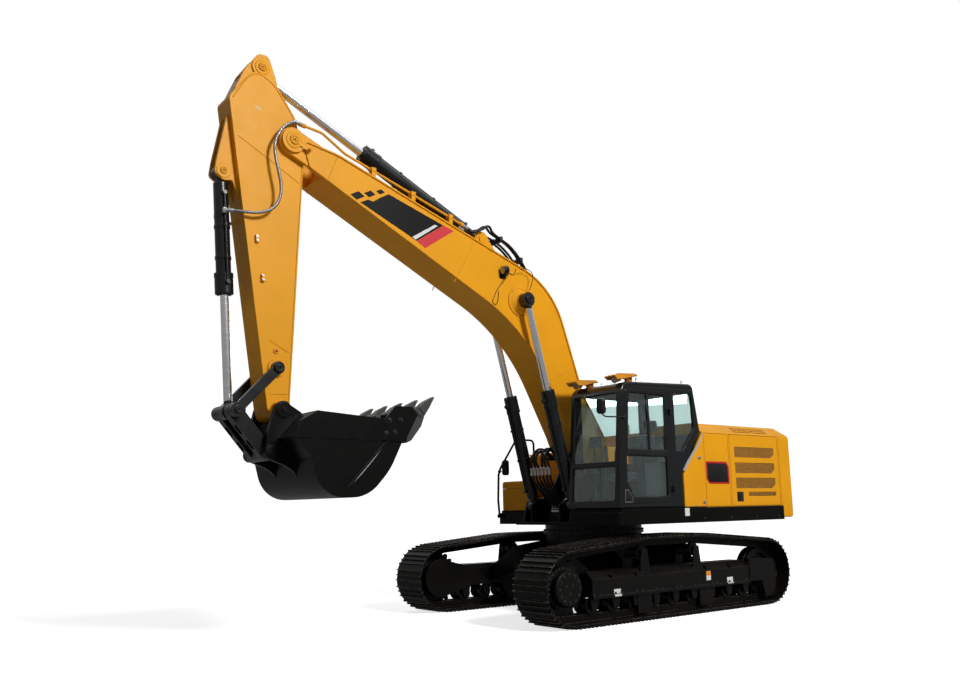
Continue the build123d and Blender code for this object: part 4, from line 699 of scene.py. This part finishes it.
def tinted_glass():
    """Green-tinted safety glass with a film of dust in patches."""
    clear, dusty = (0.66, 0.79, 0.77), (0.72, 0.82, 0.80)
    finish = Finish("cab glass", clear, 0.02, Transmission_Weight=1.0, IOR=1.45)
    smear = finish.noise(2.2, 5.0, 0.6).ramp(0.45, 0.8)
    finish.set(Base_Color=finish.mix(smear, clear, dusty), Roughness=smear * 0.03 + 0.01)
    return finish.material


dress(tinted_glass(), "cab_glass", "door_glass")
front_low, front_high = (985, 1403.3), (845, 3075)


def front_x(z):
    """Outer face of the sloping front."""
    lean = (front_low[0] - front_high[0]) / (front_high[1] - front_low[1])
    return front_low[0] - (z - front_low[1]) * lean


roof_x, roof_z, roof_drop = 845, 3076, 55 / 1465
fronts = [[(front_x(z) - 9, y, z) for y, z in oblong(582, z_low, 1380, z_high)]
          for z_low, z_high in ((2010, 2925), (1500, 1955))]
tube("windscreen_seals", "upper", fronts, 10, rubber, corner=45, closed=True)
hatch = [(x, y, roof_z + (roof_x - x) * roof_drop) for x, y in oblong(-150, 697, 480, 1265)]
tube("roof_hatch_seal", "upper", [hatch], 11, rubber, corner=50, closed=True)
upper_pane = [(775, 2165), (715, 2930), (0, 2930), (0, 2165)]
lower_pane = [(800, 2095), (810, 1760), (690, 1550), (0, 1550), (0, 2095)]
quarter_pane = [(-190, 2170), (-190, 2985), (-585, 2985), (-600, 2500), (-330, 2170)]
seal("quarter_window_seal", "upper", [quarter_pane], 1440, 8, 30)
seal("inner_window_seal", "upper", [oblong(-520, 1900, 690, 2960)], 521, 8, 30)
seal("door_window_seals", "cab_door", [upper_pane, lower_pane], 1442, 9, 34)
seal("door_edge_seal", "upper", [[(877, 1465), (783, 2990), (-60, 2990), (-60, 1465)]], 1434, 5, 45)

slider = Form()
for x0, x1 in ((318, 354), (0, 26)):
    slider.block((x0, 1441, 2168), (x1, 1449, 2928), 2.5)
slider.block((10, 1441, 2166), (760, 1449, 2184), 2.5)
slider.keep("sliding_pane_frame", "cab_door", latch_black)
Form().block((372, 1449, 2480), (392, 1458, 2560), 3) \
    .keep("sliding_pane_catch", "cab_door", latch_black)
handle = Form().plate([(730, 1492), (862, 1492), (852, 1640), (800, 1644), (730, 1560)], 1454, 1462, 3)
handle.block((748, 1461, 1512), (838, 1470, 1548), 4)
handle.turned([(0, 11), (4, 11), (5, 8)], (812, 1461, 1600), (812, 1480, 1600))
handle.keep("door_handle", "cab_door", latch_black)
seal("door_handle_rim", "cab_door", [[(726, 1488), (866, 1488), (856, 1646), (800, 1650), (726, 1562)]],
     1456, 2.6, 10, satin_strip)
Form().block((48, 1453, 2118), (792, 1457.5, 2134), 1.5).block((60, 1453, 1489), (724, 1456, 1494)) \
    .keep("door_rubbing_strip", "cab_door", latch_black)

eye_tilt = 0.6
eye_lines, stems = [], Form()
for x, y, z in ((377, 1300, 3093), (-570, 1300, 3128), (377, 655, 3093), (-570, 655, 3128)):
    stems.turned([(0, 26), (8, 26), (9, 15), (26, 12), (40, 9)], (x, y, z), (x, y, z + 60))
    eye_lines.append([(x + u * cos(eye_tilt), y + u * sin(eye_tilt), z + 58 + v)
                      for u, v in circle(14, 22)])
for x, z in ((-52, 3108), (300, 3096)):
    stems.turned([(0, 16), (5, 16), (6, 10), (20, 10), (24, 6)], (x, 1320, z), (x, 1320, z + 40))
stems.keep("roof_eye_stems", "upper", zinc)
tube("roof_eyes", "upper", eye_lines, 6.5, zinc, corner=1, closed=True)
grab = [(2690, 42, 0), (2690, 90, -10), (2500, 90, 10), (2500, 42, 0)]
tube("cab_grab_handle", "upper", [[(front_x(z) - off, 560, z + dz) for z, off, dz in grab]], 13,
     latch_black, corner=30, sides=12)

dress(enamel("lamp hood", (0.60, 0.24, 0.020), 0.40, edge=0.003, gloss=0.2), "roof_lamps")
dress(enamel("black moulding", (0.006, 0.006, 0.006), 0.32, edge=0.006, gloss=0.3), "boom_lamp",
      "cab_mirror")
lens = faceted("lamp lens", (0.50, 0.49, 0.47), 0.12, 90.0, (0.1, 0.6), (0.62, 0.62, 0.60),
               (0.22, 0.21, 0.20), (0.08, 0.1), (0.4, 0.002), metallic=0.4, metal=0.2)
lenses = Form()
for y in (619, 1343):
    lenses.turned([(0, 44), (3, 44), (6, 34), (7.5, 16)], (861.5, y, 3096.2), (958.5, y, 3058.2), 28)
lenses.keep("roof_lamp_lenses", "upper", lens, "lamp")
Form().turned([(0, 50), (3, 50), (6, 40), (8, 18)], (1874.5, 320.3, 4678.1), (1954.5, 320.3, 4660.1), 28) \
    .keep("boom_lamp_lens", "boom", lens, "lamp")
silvered = Finish("mirror glass", (0.80, 0.82, 0.83), 0.04, metallic=1.0)
silvered.set(Roughness=0.03 + silvered.noise(3.0, 4.0).ramp(0.5, 0.8) * 0.06)
for name, low, high in (("cab_mirror_glass", (1234, 1434, 2634), (1238.5, 1518, 2790)),
                        ("rail_mirror_glass", (391, -1524, 1975), (395.5, -1426, 2175))):
    Form().block(low, high, 1).keep(name, "upper", silvered.material)

dress(enamel("console moulding", (0.030, 0.032, 0.034), 0.5, edge=0.01, gloss=0.3), "consoles", "monitor")
screen = Finish("monitor glass", (0.02, 0.03, 0.035), 0.08)
screen.set(Base_Color=screen.mix(screen.noise(14.0).ramp(0.4, 0.6), (0.015, 0.025, 0.03),
                                 (0.03, 0.045, 0.05)))
Form().block((540, 590, 2252), (544.8, 754, 2388), 1).keep("monitor_screen", "upper", screen.material)
rails = Form()
for y in (651, 1311):
    rails.block((-140, y - 50, 2008), (280, y + 50, 2030), 8)
    rails.turned([(0, 24), (6, 27), (50, 25), (92, 19), (100, 9)], (338, y, 2180), (343, y, 2300))
rails.keep("arm_rests", "upper", latch_black, "trim")


# ================================================================ operator's seat
# A sprung seat: foam cushion and back crowned between sewn seams, a separate head rest,
# and a folding rubber boot round its suspension.

def cloth():
    """Woven cloth over foam, with a soft nap and a tight cross weave."""
    finish = Finish("seat cloth", (0.05, 0.055, 0.06), 0.85, Sheen_Weight=0.25)
    warp, weft, threads = finish.place("Y"), finish.place("X") + finish.place("Z"), 900.0
    weave = (warp * threads).math("SINE") * (weft * threads).math("SINE")
    tone = finish.mix(finish.noise(5.0).ramp(0.35, 0.65), (0.042, 0.048, 0.053), (0.062, 0.068, 0.074))
    finish.set(Base_Color=finish.mix(weave.ramp(0.2, 0.9) * 0.5, tone, (0.10, 0.11, 0.115)),
               Normal=finish.bump(weave, 0.35, 0.0012))
    return finish.material


def cushion(middle, size, lean, crown, flutes):
    """Padded block: rounded, crowned to its front face and pulled in along its sewn flutes."""
    form, half, turn = Form(), Vector(size) / 2, Matrix.Rotation(lean, 3, "Y")
    bmesh.ops.create_cube(form.bm, size=2.0)
    bmesh.ops.subdivide_edges(form.bm, edges=form.bm.edges, cuts=18, use_grid_fill=True)
    square, flute_depth, flute_width = 6, 0.10, 14
    for v in form.bm.verts:
        p = v.co.copy()
        p /= max(1, (abs(p.x) ** square + abs(p.y) ** square + abs(p.z) ** square) ** (1 / square))
        swell = 1 + crown * (1 - p.x ** 2) * (1 - p.y ** 2)
        pull = max(0, cos(p.y * pi * flutes / 2)) ** flute_width
        groove = 1 - flute_depth * pull * (1 - p.x ** 4)
        q = Vector((p.x * half.x, p.y * half.y, p.z * half.z * swell * (groove if p.z > 0 else 1)))
        v.co = at(*(Vector(middle) + turn @ q))
    form.bm.normal_update()
    return form


seat_cloth = cloth()
for name, *shape in (("seat_cushion", (165, 981, 1835), (540, 470, 96), 0, 0.25, 4),
                     ("seat_back", (-78, 981, 2150), (560, 460, 104), -1.30, 0.25, 4),
                     ("head_rest", (-214, 981, 2548), (158, 240, 72), -1.42, 0.2, 0)):
    cushion(*shape).keep(name, "upper", seat_cloth, "seat_fabric")
boot, fold = Form(), 54
for i in range(6):
    inset = 14 if i % 2 else 0
    low = 1450 + i * fold
    boot.block((-50 + inset, 791 + inset, low), (330 - inset, 1171 - inset, low + fold), 12)
for y in (941, 1021):
    boot.turned([(0, 8), (130, 8)], (-196, y, 2370), (-214, y, 2500))
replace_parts(boot.keep("seat_suspension_boot", "upper", rubber, "seat_fabric"), "seat")


# ================================================================ boom
# A box of plate steel, welded along its edges and inside seams, with cast bosses for its pins.
# Steel pipes run over its back, and rubber hoses bring the oil to them.

dress(body_enamel, "boom", "boom_pipes")


def weld_bead():
    """Hand-laid bead: a low ridge whose width swells with every dip of the rod."""
    graph = Graph("weld bead", Radius=0.006, Step=0.009, Pitch=0.018, Swell=0.22)
    line = graph.add("GeometryNodeMeshToCurve", Mesh=graph.given["Geometry"])
    line = graph.add("GeometryNodeResampleCurve", {"mode": "LENGTH"}, Curve=line,
                     Length=graph.given["Step"])
    run = graph.add("GeometryNodeSplineParameter").outputs["Length"]
    phase = graph.add("ShaderNodeMath", {"operation": "DIVIDE"}, i0=run, i1=graph.given["Pitch"])
    phase = graph.add("ShaderNodeMath", {"operation": "MULTIPLY"}, i0=phase, i1=2 * pi)
    wave = graph.add("ShaderNodeMath", {"operation": "SINE"}, i0=phase)
    width = graph.add("ShaderNodeMath", {"operation": "MULTIPLY_ADD"}, i0=wave, i1=graph.given["Swell"],
                      i2=1.0)
    return graph.skinned(line, 6, Scale=width)


bead = weld_bead()


def welds(name, body, routes, material=body_enamel, slot="paint", radius=6):
    """Weld beads along routes in millimetres."""
    bead.make(name, body, lines(routes), material, slot, Radius=radius / 1000)


def mirrored(rows):
    """The same routes or marks on both sides of the machine."""
    return rows + [[(x, -y, z) for x, y, z in row] for row in rows]


lug_x, lug_z = 1520, 4290
lug_weld = [(lug_x + 188 * cos(radians(11 * i)), 262, lug_z + 188 * sin(radians(11 * i)))
            for i in range(33)]
welds("boom_welds", "boom", mirrored([
    [(1033, 250, 3204), (573, 250, 3427)], [(2254, 250, 5113), (2660, 250, 4411)],
    [(4570, 250, 5398), (4514, 250, 5501), (4422, 250, 5735)], lug_weld]))
clamp_places = ((2700, 5306), (3300, 5501), (3900, 5694))
clamp_bolts = [(x + dx, 230, z + 31, 15, (-0.3, 0, 0.95)) for x, z in clamp_places for dx in (-20, 20)]
bolt_up("boom_bolts", "boom", on_sides([(1770, 267, 4600, 15), (1800, 267, 4632, 15),
                                        (4822, 317, 5724, 26), (2032, 148, 4990, 24)] + clamp_bolts),
        body_enamel, "paint")
grease = enamel("grease fitting", (0.38, 0.36, 0.30), 0.3, edge=0.001, gloss=0.6)
nipple = [(0, 7.5), (6, 7.5), (6.5, 4), (11, 3.4), (13, 4.4), (16, 3.6), (17, 1.6)]
nipples = Form()
for side in (1, -1):
    for x, y, z in ((4905, 285, 5720), (1660, 268, 4420), (2130, 135, 5160)):
        nipples.turned(nipple, (x, side * y, z), (x, side * (y + 30), z), 10)
nipples.keep("boom_grease_fittings", "boom", grease)
cap_steps = [(0.06, 1), (0.11, 0.94), (0.11, 0.72), (0.03, 0.68), (0.03, 0.50), (0.12, 0.45),
             (0.12, 0.22), (0, 0.17)]


def pin_ends(name, body, rows, material, slot):
    """Turned faces of the pins on both sides: a stepped cap with two grooves and a centre dimple."""
    form = Form()
    for side, (x, y, z, radius, collar) in [(side, row) for side in (1, -1) for row in rows]:
        if collar:
            form.turned([(-1, collar), (5, collar), (8, collar - 5), (8.5, radius + 8), (2, radius + 5)],
                        (x, side * (y - 18), z), (x, side * y, z), 36)
        form.turned([(-1, radius)] + [(depth * radius, share * radius) for depth, share in cap_steps],
                    (x, side * y, z), (x, side * (y + 60), z), 32)
    form.keep(name, body, material, slot)


pin_ends("boom_pin_ends", "boom", [(5016, 303, 5810, 56, 104)], body_enamel, "paint")

band_black = decal_film("dark band film", (0.0035, 0.0032, 0.0030))
band_red = decal_film("red band film", (0.46, 0.010, 0.018), (0.60, 0.05, 0.06),
                      lambda finish: (finish.place("X") * 0.62 + finish.place("Z") * 0.79 > 4.72) * 1.0)
dark_band = Form().plates([(4091, 5232), (3978, 5290), (3905, 5278), (3800, 5352), (3674, 5422),
                           (2823, 5164), (3252, 4879)], 250.2, 251.6)
fleck = ((-100, 8), (-12, 62), (108, -4), (16, -56))
for x, z, size in ((4127, 5311, 0.98), (3951, 5367, 0.80), (3795, 5427, 0.62)):
    dark_band.plates([(x + dx * size, z + dz * size) for dx, dz in fleck], 250.2, 251.6)
dark_band.keep("boom_dark_band", "boom", band_black, "paint")
Form().plates([(2820, 5163), (2648, 5118), (3119, 4803), (3250, 4878)], 250.2, 251.4) \
    .keep("boom_red_band", "boom", band_red, "paint")
Form().plates([(2960, 5150), (2916, 5137), (3270, 4893), (3316, 4922)], 251.6, 252.4) \
    .keep("boom_white_band", "boom", white_film, "paint")

hose_rubber = enamel("hose rubber", (0.005, 0.005, 0.005), 0.42, edge=0.001, gloss=0.25, peel=0.0012)
union_nut = [(0, 20), (24, 20)]
union_ferrule = [(23, 13), (34, 13), (35, 18), (44, 18), (45.5, 16.4), (50, 16.4), (51.5, 18), (60, 18),
                 (61.5, 16.4), (66, 16.4), (67.5, 18), (78, 17.6)]


def union(form, place, toward, size=1):
    """Crimped hose end: hexagon nut, collar and grooved ferrule, from a place towards the hose."""
    end = tuple(p + t for p, t in zip(place, toward))
    for rows, sides in ((union_nut, 6), (union_ferrule, 16)):
        form.turned([(distance * size, radius * size) for distance, radius in rows], place, end, sides)


def hoses(name, body, routes, radius, step=22):
    """Stiff hoses of one radius, each a smooth tube along its route."""
    return tube(name, body, routes, radius, hose_rubber, "dark_steel", step=step, sides=12)


top_start, top_run = (2462, 2.1, 5228), (
    (2390, 2.0, 5206), (2270, 1.6, 5190), (2120, 1.95, 5252), (1991, 1.75, 5319), (1885, 1.3, 5262),
    (1723, 1, 5206), (1577, 1, 5142), (1450, 1, 5050), (1359, 1, 4956), (1269, 1, 4837), (1180, 1, 4700))
top_routes, top_unions = [], Form()
for y, lift in ((104, 0), (56, 14), (-56, 14), (-104, 0)):
    raised = [(x, spread, z + lift) for x, spread, z in top_run]
    top_routes.append([(x, y * spread, z) for x, spread, z in [top_start] + raised])
    union(top_unions, (2480, y * 2.1, 5233), (-18, 0, -5), 17 / 14)
hoses("boom_back_hoses", "boom", top_routes, 17)
top_unions.keep("boom_back_hoses_unions", "boom", zinc)
clips = Form()
for x, z in ((1723, 5206), (1359, 4956)):
    for y in (80, -80):
        clips.block((x - 22, y - 62, z - 52), (x + 22, y + 62, z + 30), 8)
clips.keep("boom_hose_clamps", "boom", latch_black)
lamp_wires = [[(1825, 330, 4624), (1792, 326, 4600), (1751, 290, 4654), (1700, 262, 4676),
               (1642, 258, 4660), (1600, 256, 4690), (1586, 254, 4730), (1575, 262, 4757)],
              [(1790, 316, 4640), (1820, 300, 4560), (1904, 262, 4440), (1985, 256, 4300),
               (2008, 258, 4215), (1960, 262, 4200), (1912, 258, 4300), (1904, 256, 4392)]]
hoses("boom_lamp_wires", "boom", lamp_wires, 4.2)
rod_line = [(1575, 344, 4721), (1500, 345, 4752), (1426, 345, 4743), (1371, 344, 4723), (1350, 342, 4700),
            (1361, 340, 4560), (1420, 338, 4440)]
hoses("grease_lines", "boom", mirrored([rod_line]), 5)

lower_run = ((690, 0.75, 1400), (712, 0.8, 1470), (800, 0.95, 1590), (910, 1.1, 1720), (985, 1.2, 1850),
             (1000, 1.25, 1940))
upper_run = ((1000, 1.25, 1990, 0, 0), (1004, 1.25, 2110, 1, 1), (960, 1.2, 2200, 1, 1),
             (870, 1.15, 2235, 0, 1), (780, 1.05, 2190, 0, 1), (700, 1, 2130, 0, 0),
             (610, 1, 2140, 0, 0), (520, 1, 2190, 0, 0))
foot_routes, lower_unions, middle_unions, upper_unions = [], Form(), Form(), Form()
for i, y in enumerate((-150, -90, -30, 30, 90, 150)):
    reach, rise = 26 * (i % 3), 34 * (i % 2)
    foot_routes.append([(x, y * spread, z) for x, spread, z in lower_run])
    foot_routes.append([(x + reach * out, y * spread, z + rise * up)
                        for x, spread, z, out, up in upper_run])
    union(lower_unions, (690, y * 0.75, 1372), (2, 0, 60), 1.2)
    union(middle_unions, (1000, y * 1.25, 1988), (0, 0, -60), 1.25)
    union(upper_unions, (508, y, 2196), (50, 0, -28), 1.2)
middle_unions.block((984, -215, 1984), (1016, 215, 1998), 3)
lower_unions.keep("valve_unions", "upper", zinc)
upper_unions.keep("boom_foot_unions", "boom", latch_black)
foot_hoses = hoses("boom_foot_hoses", None, foot_routes, 18, 25)
for piece in (foot_hoses, middle_unions.keep("hose_couplings", None, zinc)):
    at(720, 0, 1480)
    at(560, 0, 2170)
    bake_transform(piece)


# ================================================================ arm
# A welded box that tapers to the bucket, with a seam where its two side plates meet and a
# forked head.  A steel-braided hose loops round the boom tip to the bucket cylinder.

dress(body_enamel, "arm")
welds("arm_welds", "arm", mirrored([
    [(5675, 180, 5744), (5210, 180, 5500), (4884, 180, 5323)],
    [(5243, 180, 3384), (5006, 180, 3262)], [(5222, 180, 2767), (5025, 180, 2780)]]))
lip = [(5740, 6195), (5655, 6345), (5568, 6478), (5495, 6545), (5417, 6565), (5315, 6530),
       (5201, 6440), (5102, 6309), (5016, 6195), (4962, 6104), (4912, 5900), (4866, 5660),
       (4864, 5400), (4906, 4600), (4972, 3300), (5004, 2680)]
tube("arm_plate_edges", "arm", [[(x, side * 180, z) for x, z in lip] for side in (1, -1)], 9.5, body_enamel,
     "paint", step=50)
pad_places, pads = ((5426, 4550), (5349, 4097)), Form()
for x, z in pad_places:
    pads.plates([(x - 22, z - 46), (x + 18, z - 40), (x + 22, z + 44), (x - 10, z + 46)], 178, 214, 4)
pads.keep("arm_pipe_pads", "arm", body_enamel, "paint")
bolt_up("arm_pad_bolts", "arm", on_sides([(x + dx, 214, z + dz, 17) for x, z in pad_places
                                          for dx, dz in ((4, 24), (0, -22))]), zinc)
pin_ends("arm_pin_ends", "arm", [(5378, 175, 6675, 46, 92), (5805, 118, 5316, 38, 0)], body_enamel, "paint")
plug_red = enamel("plug cap", (0.42, 0.018, 0.012), 0.4, edge=0.002, gloss=0.4)
plug_x, plug_z = 5168, 3268
for name, finish, rows, sides in (
        ("arm_plug_seats", body_enamel, [(0, 36), (9, 36), (13, 31), (13, 20)], 24),
        ("arm_plugs", plug_red, [(0, 17), (20, 17), (23, 12)], 12)):
    form = Form()
    for side in (1, -1):
        form.turned(rows, (plug_x, side * 179, plug_z), (plug_x, side * 260, plug_z), sides)
    form.keep(name, "arm", finish, "paint")
bolt_up("arm_bolts", "arm", on_sides([(5444, 147, 6490, 24)]), body_enamel, "paint")
Form().plate([(5399, 6117), (5478, 6145), (5474, 6167), (5394, 6139)], 180, 181) \
    .keep("arm_label", "arm", decal_film("faded film", (0.74, 0.55, 0.30)), "paint")
steel_braid = faceted("steel braid", (0.42, 0.43, 0.44), 0.3, 420.0, (0.25, 0.6), (0.58, 0.59, 0.60),
                      (0.10, 0.10, 0.105), (0.22, 0.25), (0.6, 0.0014), metallic=0.85)
braided = [(4928, 231, 6058), (4985, 238, 6058), (5127, 262, 5963), (5226, 285, 5819), (5270, 300, 5678),
           (5259, 310, 5519), (5223, 315, 5355), (5194, 315, 5203), (5204, 310, 5056), (5271, 300, 4926),
           (5410, 282, 4845), (5566, 250, 4824), (5690, 200, 4832), (5728, 178, 4836)]
tip_ends, port_ends = Form(), Form()
for name, side in (("tip_hose", 1), ("tip_hose_far", -1)):
    hose = tube(name, None, [[(x, side * y, z) for x, y, z in braided]], 18.5, steel_braid, "chrome_rod",
                step=20, sides=14)
    at(4960, side * 232, 6070)
    at(5200, side * 215, 5300)
    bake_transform(hose)
    union(tip_ends, (4902, side * 230, 6049), (40, 0, 8), 1.35)
    union(port_ends, (5800, side * 136, 4838), (-70, side * 38, -2), 1.35)
    y0, y1 = sorted((side * 92, side * 150))
    port_ends.block((5770, y0, 4806), (5816, y1, 4868), 6)
tip_ends.keep("tip_hose_unions", "boom", zinc)
port_ends.keep("bucket_cylinder_unions", "bucket_cylinder_barrel", zinc)


# ================================================================ cylinders
# Seamless tube barrels with a bolted gland, painted black, and rods ground and hard-chromed.
# A wiper ring and its seal close each gland round the rod.

barrel_enamel = enamel("barrel enamel", (0.0048, 0.0058, 0.0070), 0.26, wear=0.15, edge=0.006, dust=0.02,
                       gloss=0.34)
dress(barrel_enamel, "boom_cylinder_barrels", "arm_cylinder_barrel", "bucket_cylinder_barrel")
chrome = Finish("hard chrome", (0.70, 0.72, 0.76), 0.12, metallic=1.0)
oil = chrome.noise(6.0, 4.0, vector=chrome.stretched(1.0, 1.0, 5.0))
eyes = {"boom": (lug_x, lug_z), "arm": (5378, 6675), "bucket": (5651, 2563)}
painted = 0.0
for name, reach in (("boom", 0.128), ("arm", 0.150), ("bucket", 0.125)):
    place = at(eyes[name][0], 0, eyes[name][1])
    from_eye = (chrome.place("X") - place.x) ** 2 + (chrome.place("Z") - place.z) ** 2
    painted = (from_eye < reach ** 2) + painted
polish = chrome.mix(oil.ramp(0.35, 0.7), (0.84, 0.86, 0.90), (0.92, 0.93, 0.95))
chrome.set(Base_Color=chrome.mix(painted, polish, (0.0050, 0.0058, 0.0068)),
           Roughness=0.10 + oil * 0.10 + painted * 0.12, Metallic=1.0 - painted,
           Normal=chrome.bump(chrome.noise(220.0, 2.0), 0.05, 0.0003))
dress(chrome.material, "boom_cylinder_rods", "arm_cylinder_rod", "bucket_cylinder_rod")
for name, barrel, base, length, gland, rod, sides in (
        ("boom", "boom_cylinder_barrels", (770, 1450), 1640, 98, 50, (400, -400)),
        ("arm", "arm_cylinder_barrel", (2070, 5130), 2045, 122, 56, (0,)),
        ("bucket", "bucket_cylinder_barrel", (5805, 5316), 1420, 104, 48, (0,))):
    run_x, run_z = eyes[name][0] - base[0], eyes[name][1] - base[1]
    ux, uz = run_x / hypot(run_x, run_z), run_z / hypot(run_x, run_z)
    x, z, ring = base[0] + ux * length, base[1] + uz * length, (gland + rod) / 2 + 8
    rows, wipers = [], Form()
    for y in sides:
        rows += [((x - uz * u, y + v, z + ux * u), (ux, 0, uz), 17) for u, v in circle(10, ring, pi / 10)]
        wipers.turned([(-2, rod + 16), (9, rod + 15), (13, rod + 9), (15, rod + 0.6)], (x, y, z),
                      (x + ux * 60, y, z + uz * 60), 28)
    bolt_up(name + "_gland_bolts", barrel, rows, bolt_steel, "dark_steel")
    wipers.keep(name + "_wiper_rings", barrel, rubber, "dark_steel")


# ================================================================ linkage and bucket
# Cast guide links and a forked H-link work the bucket, a welded shell of wear plate with
# bolted side cutters and hammered-on teeth.  The teeth are the first to lose their paint.

link_enamel = enamel("linkage enamel", (0.0065, 0.0070, 0.0072), 0.30, wear=0.2, edge=0.008, dust=0.03,
                     gloss=0.30)
dress(link_enamel, "guide_links", "h_link")


def scoured(finish):
    """Lighter patches where soil has rubbed, spread over the shell by noise."""
    patches = finish.noise(3.4, 6.0, 0.66, finish.stretched(1.0, 0.35, 1.0))
    return patches.ramp(0.52, 0.78) * 0.55


bucket_enamel = enamel("bucket enamel", (0.0030, 0.0028, 0.0025), 0.32, wear=0.45, edge=0.010, dust=0.02,
                       gloss=0.12, mask=scoured, under=(0.0065, 0.0056, 0.0042))
tooth_steel = enamel("tooth steel", (0.040, 0.037, 0.034), 0.42, wear=0.9, edge=0.010, dust=0.1, gloss=0.4,
                     bare=(0.26, 0.24, 0.22))
dress(bucket_enamel, "bucket")
dress(tooth_steel, "bucket_teeth")
cutter_places = ((4011, 2473), (3859, 2480), (4060, 2320), (3943, 2337))
bolt_up("cutter_bolts", "bucket", on_sides([(x, 766, z, 34) for x, z in cutter_places]), bolt_steel,
        "dark_steel")
pin_ends("bucket_pin_ends", "bucket", [(5121, 331, 2585, 40, 0)], bucket_enamel, "dark_steel")
pin_ends("link_pin_ends", "guide_links", [(5651, 308, 2563, 43, 0), (5165, 284, 3067, 58, 0)], link_enamel,
         "dark_steel")
pin_ends("boom_rod_caps", "boom_cylinder_rods", [(lug_x, 469, lug_z, 58, 0)], link_enamel, "dark_steel")
ear_weld = ((4905, 2560), (4884, 2100), (4942, 1960), (4862, 1775))
welds("bucket_welds", "bucket", mirrored([[(x, y, z) for x, z in ear_weld] for y in (296, 239)]),
      bucket_enamel, "dark_steel", 7)
side_seam = ((4545, 1701), (4420, 1812), (4296, 1936), (4160, 2086), (4044, 2224))
tube("bucket_side_seams", "bucket", mirrored([[(x, 741, z) for x, z in side_seam]]), 6, satin_strip,
     "tooth_steel")


# ================================================================ floor, lights and camera
# The machine stands on a pale studio floor that runs out to a white horizon.  One wide lamp
# over the cab side gives the form, and a second one behind fills the shade.

class Surround(Finish):
    """The studio round the object, whose brightness is worked out in the same way as a finish."""

    def __init__(self, name):
        self.world = bpy.data.worlds.new(name)
        self.world.use_nodes = True
        self.tree = self.world.node_tree
        self.shader = self.tree.nodes["Background"]


def seen_by(finish, kind):
    """1 for one kind of ray, 0 for the rest."""
    return finish.add("ShaderNodeLightPath", {}, {}, kind)


floor_radius, backdrop_height, floor_sides = 70.0, 16.0, 48
floor_bounce, low_shine, near_glow, far_glow = 0.58, 0.26, 0.74, 1.0
scene.view_settings.view_transform = "Standard"
ground = Finish("studio floor", (0.86, 0.86, 0.86), 0.8, Specular_IOR_Level=0.0)
away = ground.add("ShaderNodeVectorMath", {"operation": "LENGTH"}, {0: ground.place()}, "Value")
glow = ground.mix(away.ramp(5.0, 16.0), (near_glow, near_glow, near_glow), (far_glow, far_glow, far_glow))
ground.set(Emission_Color=glow, Emission_Strength=1.0)
bounce = ground.add("ShaderNodeBsdfDiffuse", {}, {"Color": (floor_bounce, floor_bounce, floor_bounce)})
shine = ground.add("ShaderNodeEmission", {}, {"Strength": low_shine})
bounce = ground.add("ShaderNodeMixShader", {}, {0: seen_by(ground, "Is Glossy Ray"), 1: bounce, 2: shine})
plain = seen_by(ground, "Is Camera Ray").most(seen_by(ground, "Is Transmission Ray"))
plain_floor = Term(ground, ground.shader.outputs[0])
look = ground.add("ShaderNodeMixShader", {}, {0: plain, 1: bounce, 2: plain_floor})
ground.tree.links.new(look.socket, ground.tree.nodes["Material Output"].inputs["Surface"])
floor_mesh = bpy.data.meshes.new("studio floor")
rim = circle(floor_sides, floor_radius)
floor_mesh.from_pydata([(x, y, 0.0) for x, y in rim] + [(x, y, backdrop_height) for x, y in rim], [],
                       [tuple(range(floor_sides))]
                       + [((i + 1) % floor_sides, i, floor_sides + i, floor_sides + (i + 1) % floor_sides)
                          for i in range(floor_sides)])
floor_mesh.materials.append(ground.material)
floor = bpy.data.objects.new("studio_floor", floor_mesh)
scene.collection.objects.link(floor)

fill_level, high_shine = 0.10, 1.0
studio = Surround("studio")
scene.world = studio.world
height = studio.add("ShaderNodeTexCoord", {}, {}, "Generated")
height = studio.add("ShaderNodeSeparateXYZ", {}, {"Vector": height}, "Z")
plain = seen_by(studio, "Is Camera Ray").most(seen_by(studio, "Is Transmission Ray"))
glossy = seen_by(studio, "Is Glossy Ray")
level = glossy * height.ramp(0.05, 0.75, low_shine, high_shine) + (1.0 - glossy) * fill_level
studio.set(Color=(1.0, 1.0, 1.0), Strength=plain + (1.0 - plain) * level)


def area_lamp(name, place, aim, size, power):
    """Rectangular lamp at a place in metres, turned towards another."""
    lamp = bpy.data.lights.new(name, "AREA")
    lamp.shape, lamp.size, lamp.size_y = "RECTANGLE", size[0], size[1]
    lamp.energy = power
    item = bpy.data.objects.new(name, lamp)
    item.location = place
    item.rotation_euler = (Vector(aim) - Vector(place)).to_track_quat("-Z", "Y").to_euler()
    scene.collection.objects.link(item)


area_lamp("key", (-1.0, 19.0, 14.0), (0.0, 0.0, 2.8), (4.2, 4.2), 4000.0)
area_lamp("rear", (-12.0, -11.0, 8.0), (0.0, 0.0, 2.0), (7.0, 7.0), 900.0)

eye = at(9516.0, 9407.0, 1446.0)
yaw, pitch, roll = radians(-127.122), radians(8.587), radians(-1.093)
ahead = Vector((cos(pitch) * cos(yaw), cos(pitch) * sin(yaw), sin(pitch)))
level_right = Vector((sin(yaw), -cos(yaw), 0.0))
level_up = level_right.cross(ahead)
right = level_right * cos(roll) + level_up * sin(roll)
up = level_up * cos(roll) - level_right * sin(roll)
camera = bpy.data.objects.new("camera", bpy.data.cameras.new("camera"))
camera.matrix_world = Matrix(((right.x, up.x, -ahead.x, eye.x), (right.y, up.y, -ahead.y, eye.y),
                              (right.z, up.z, -ahead.z, eye.z), (0.0, 0.0, 0.0, 1.0)))
camera.data.sensor_width = 36.0
camera.data.lens = 33.27
camera.data.shift_x, camera.data.shift_y = 0.0205, 0.0257
scene.collection.objects.link(camera)
scene.camera = camera
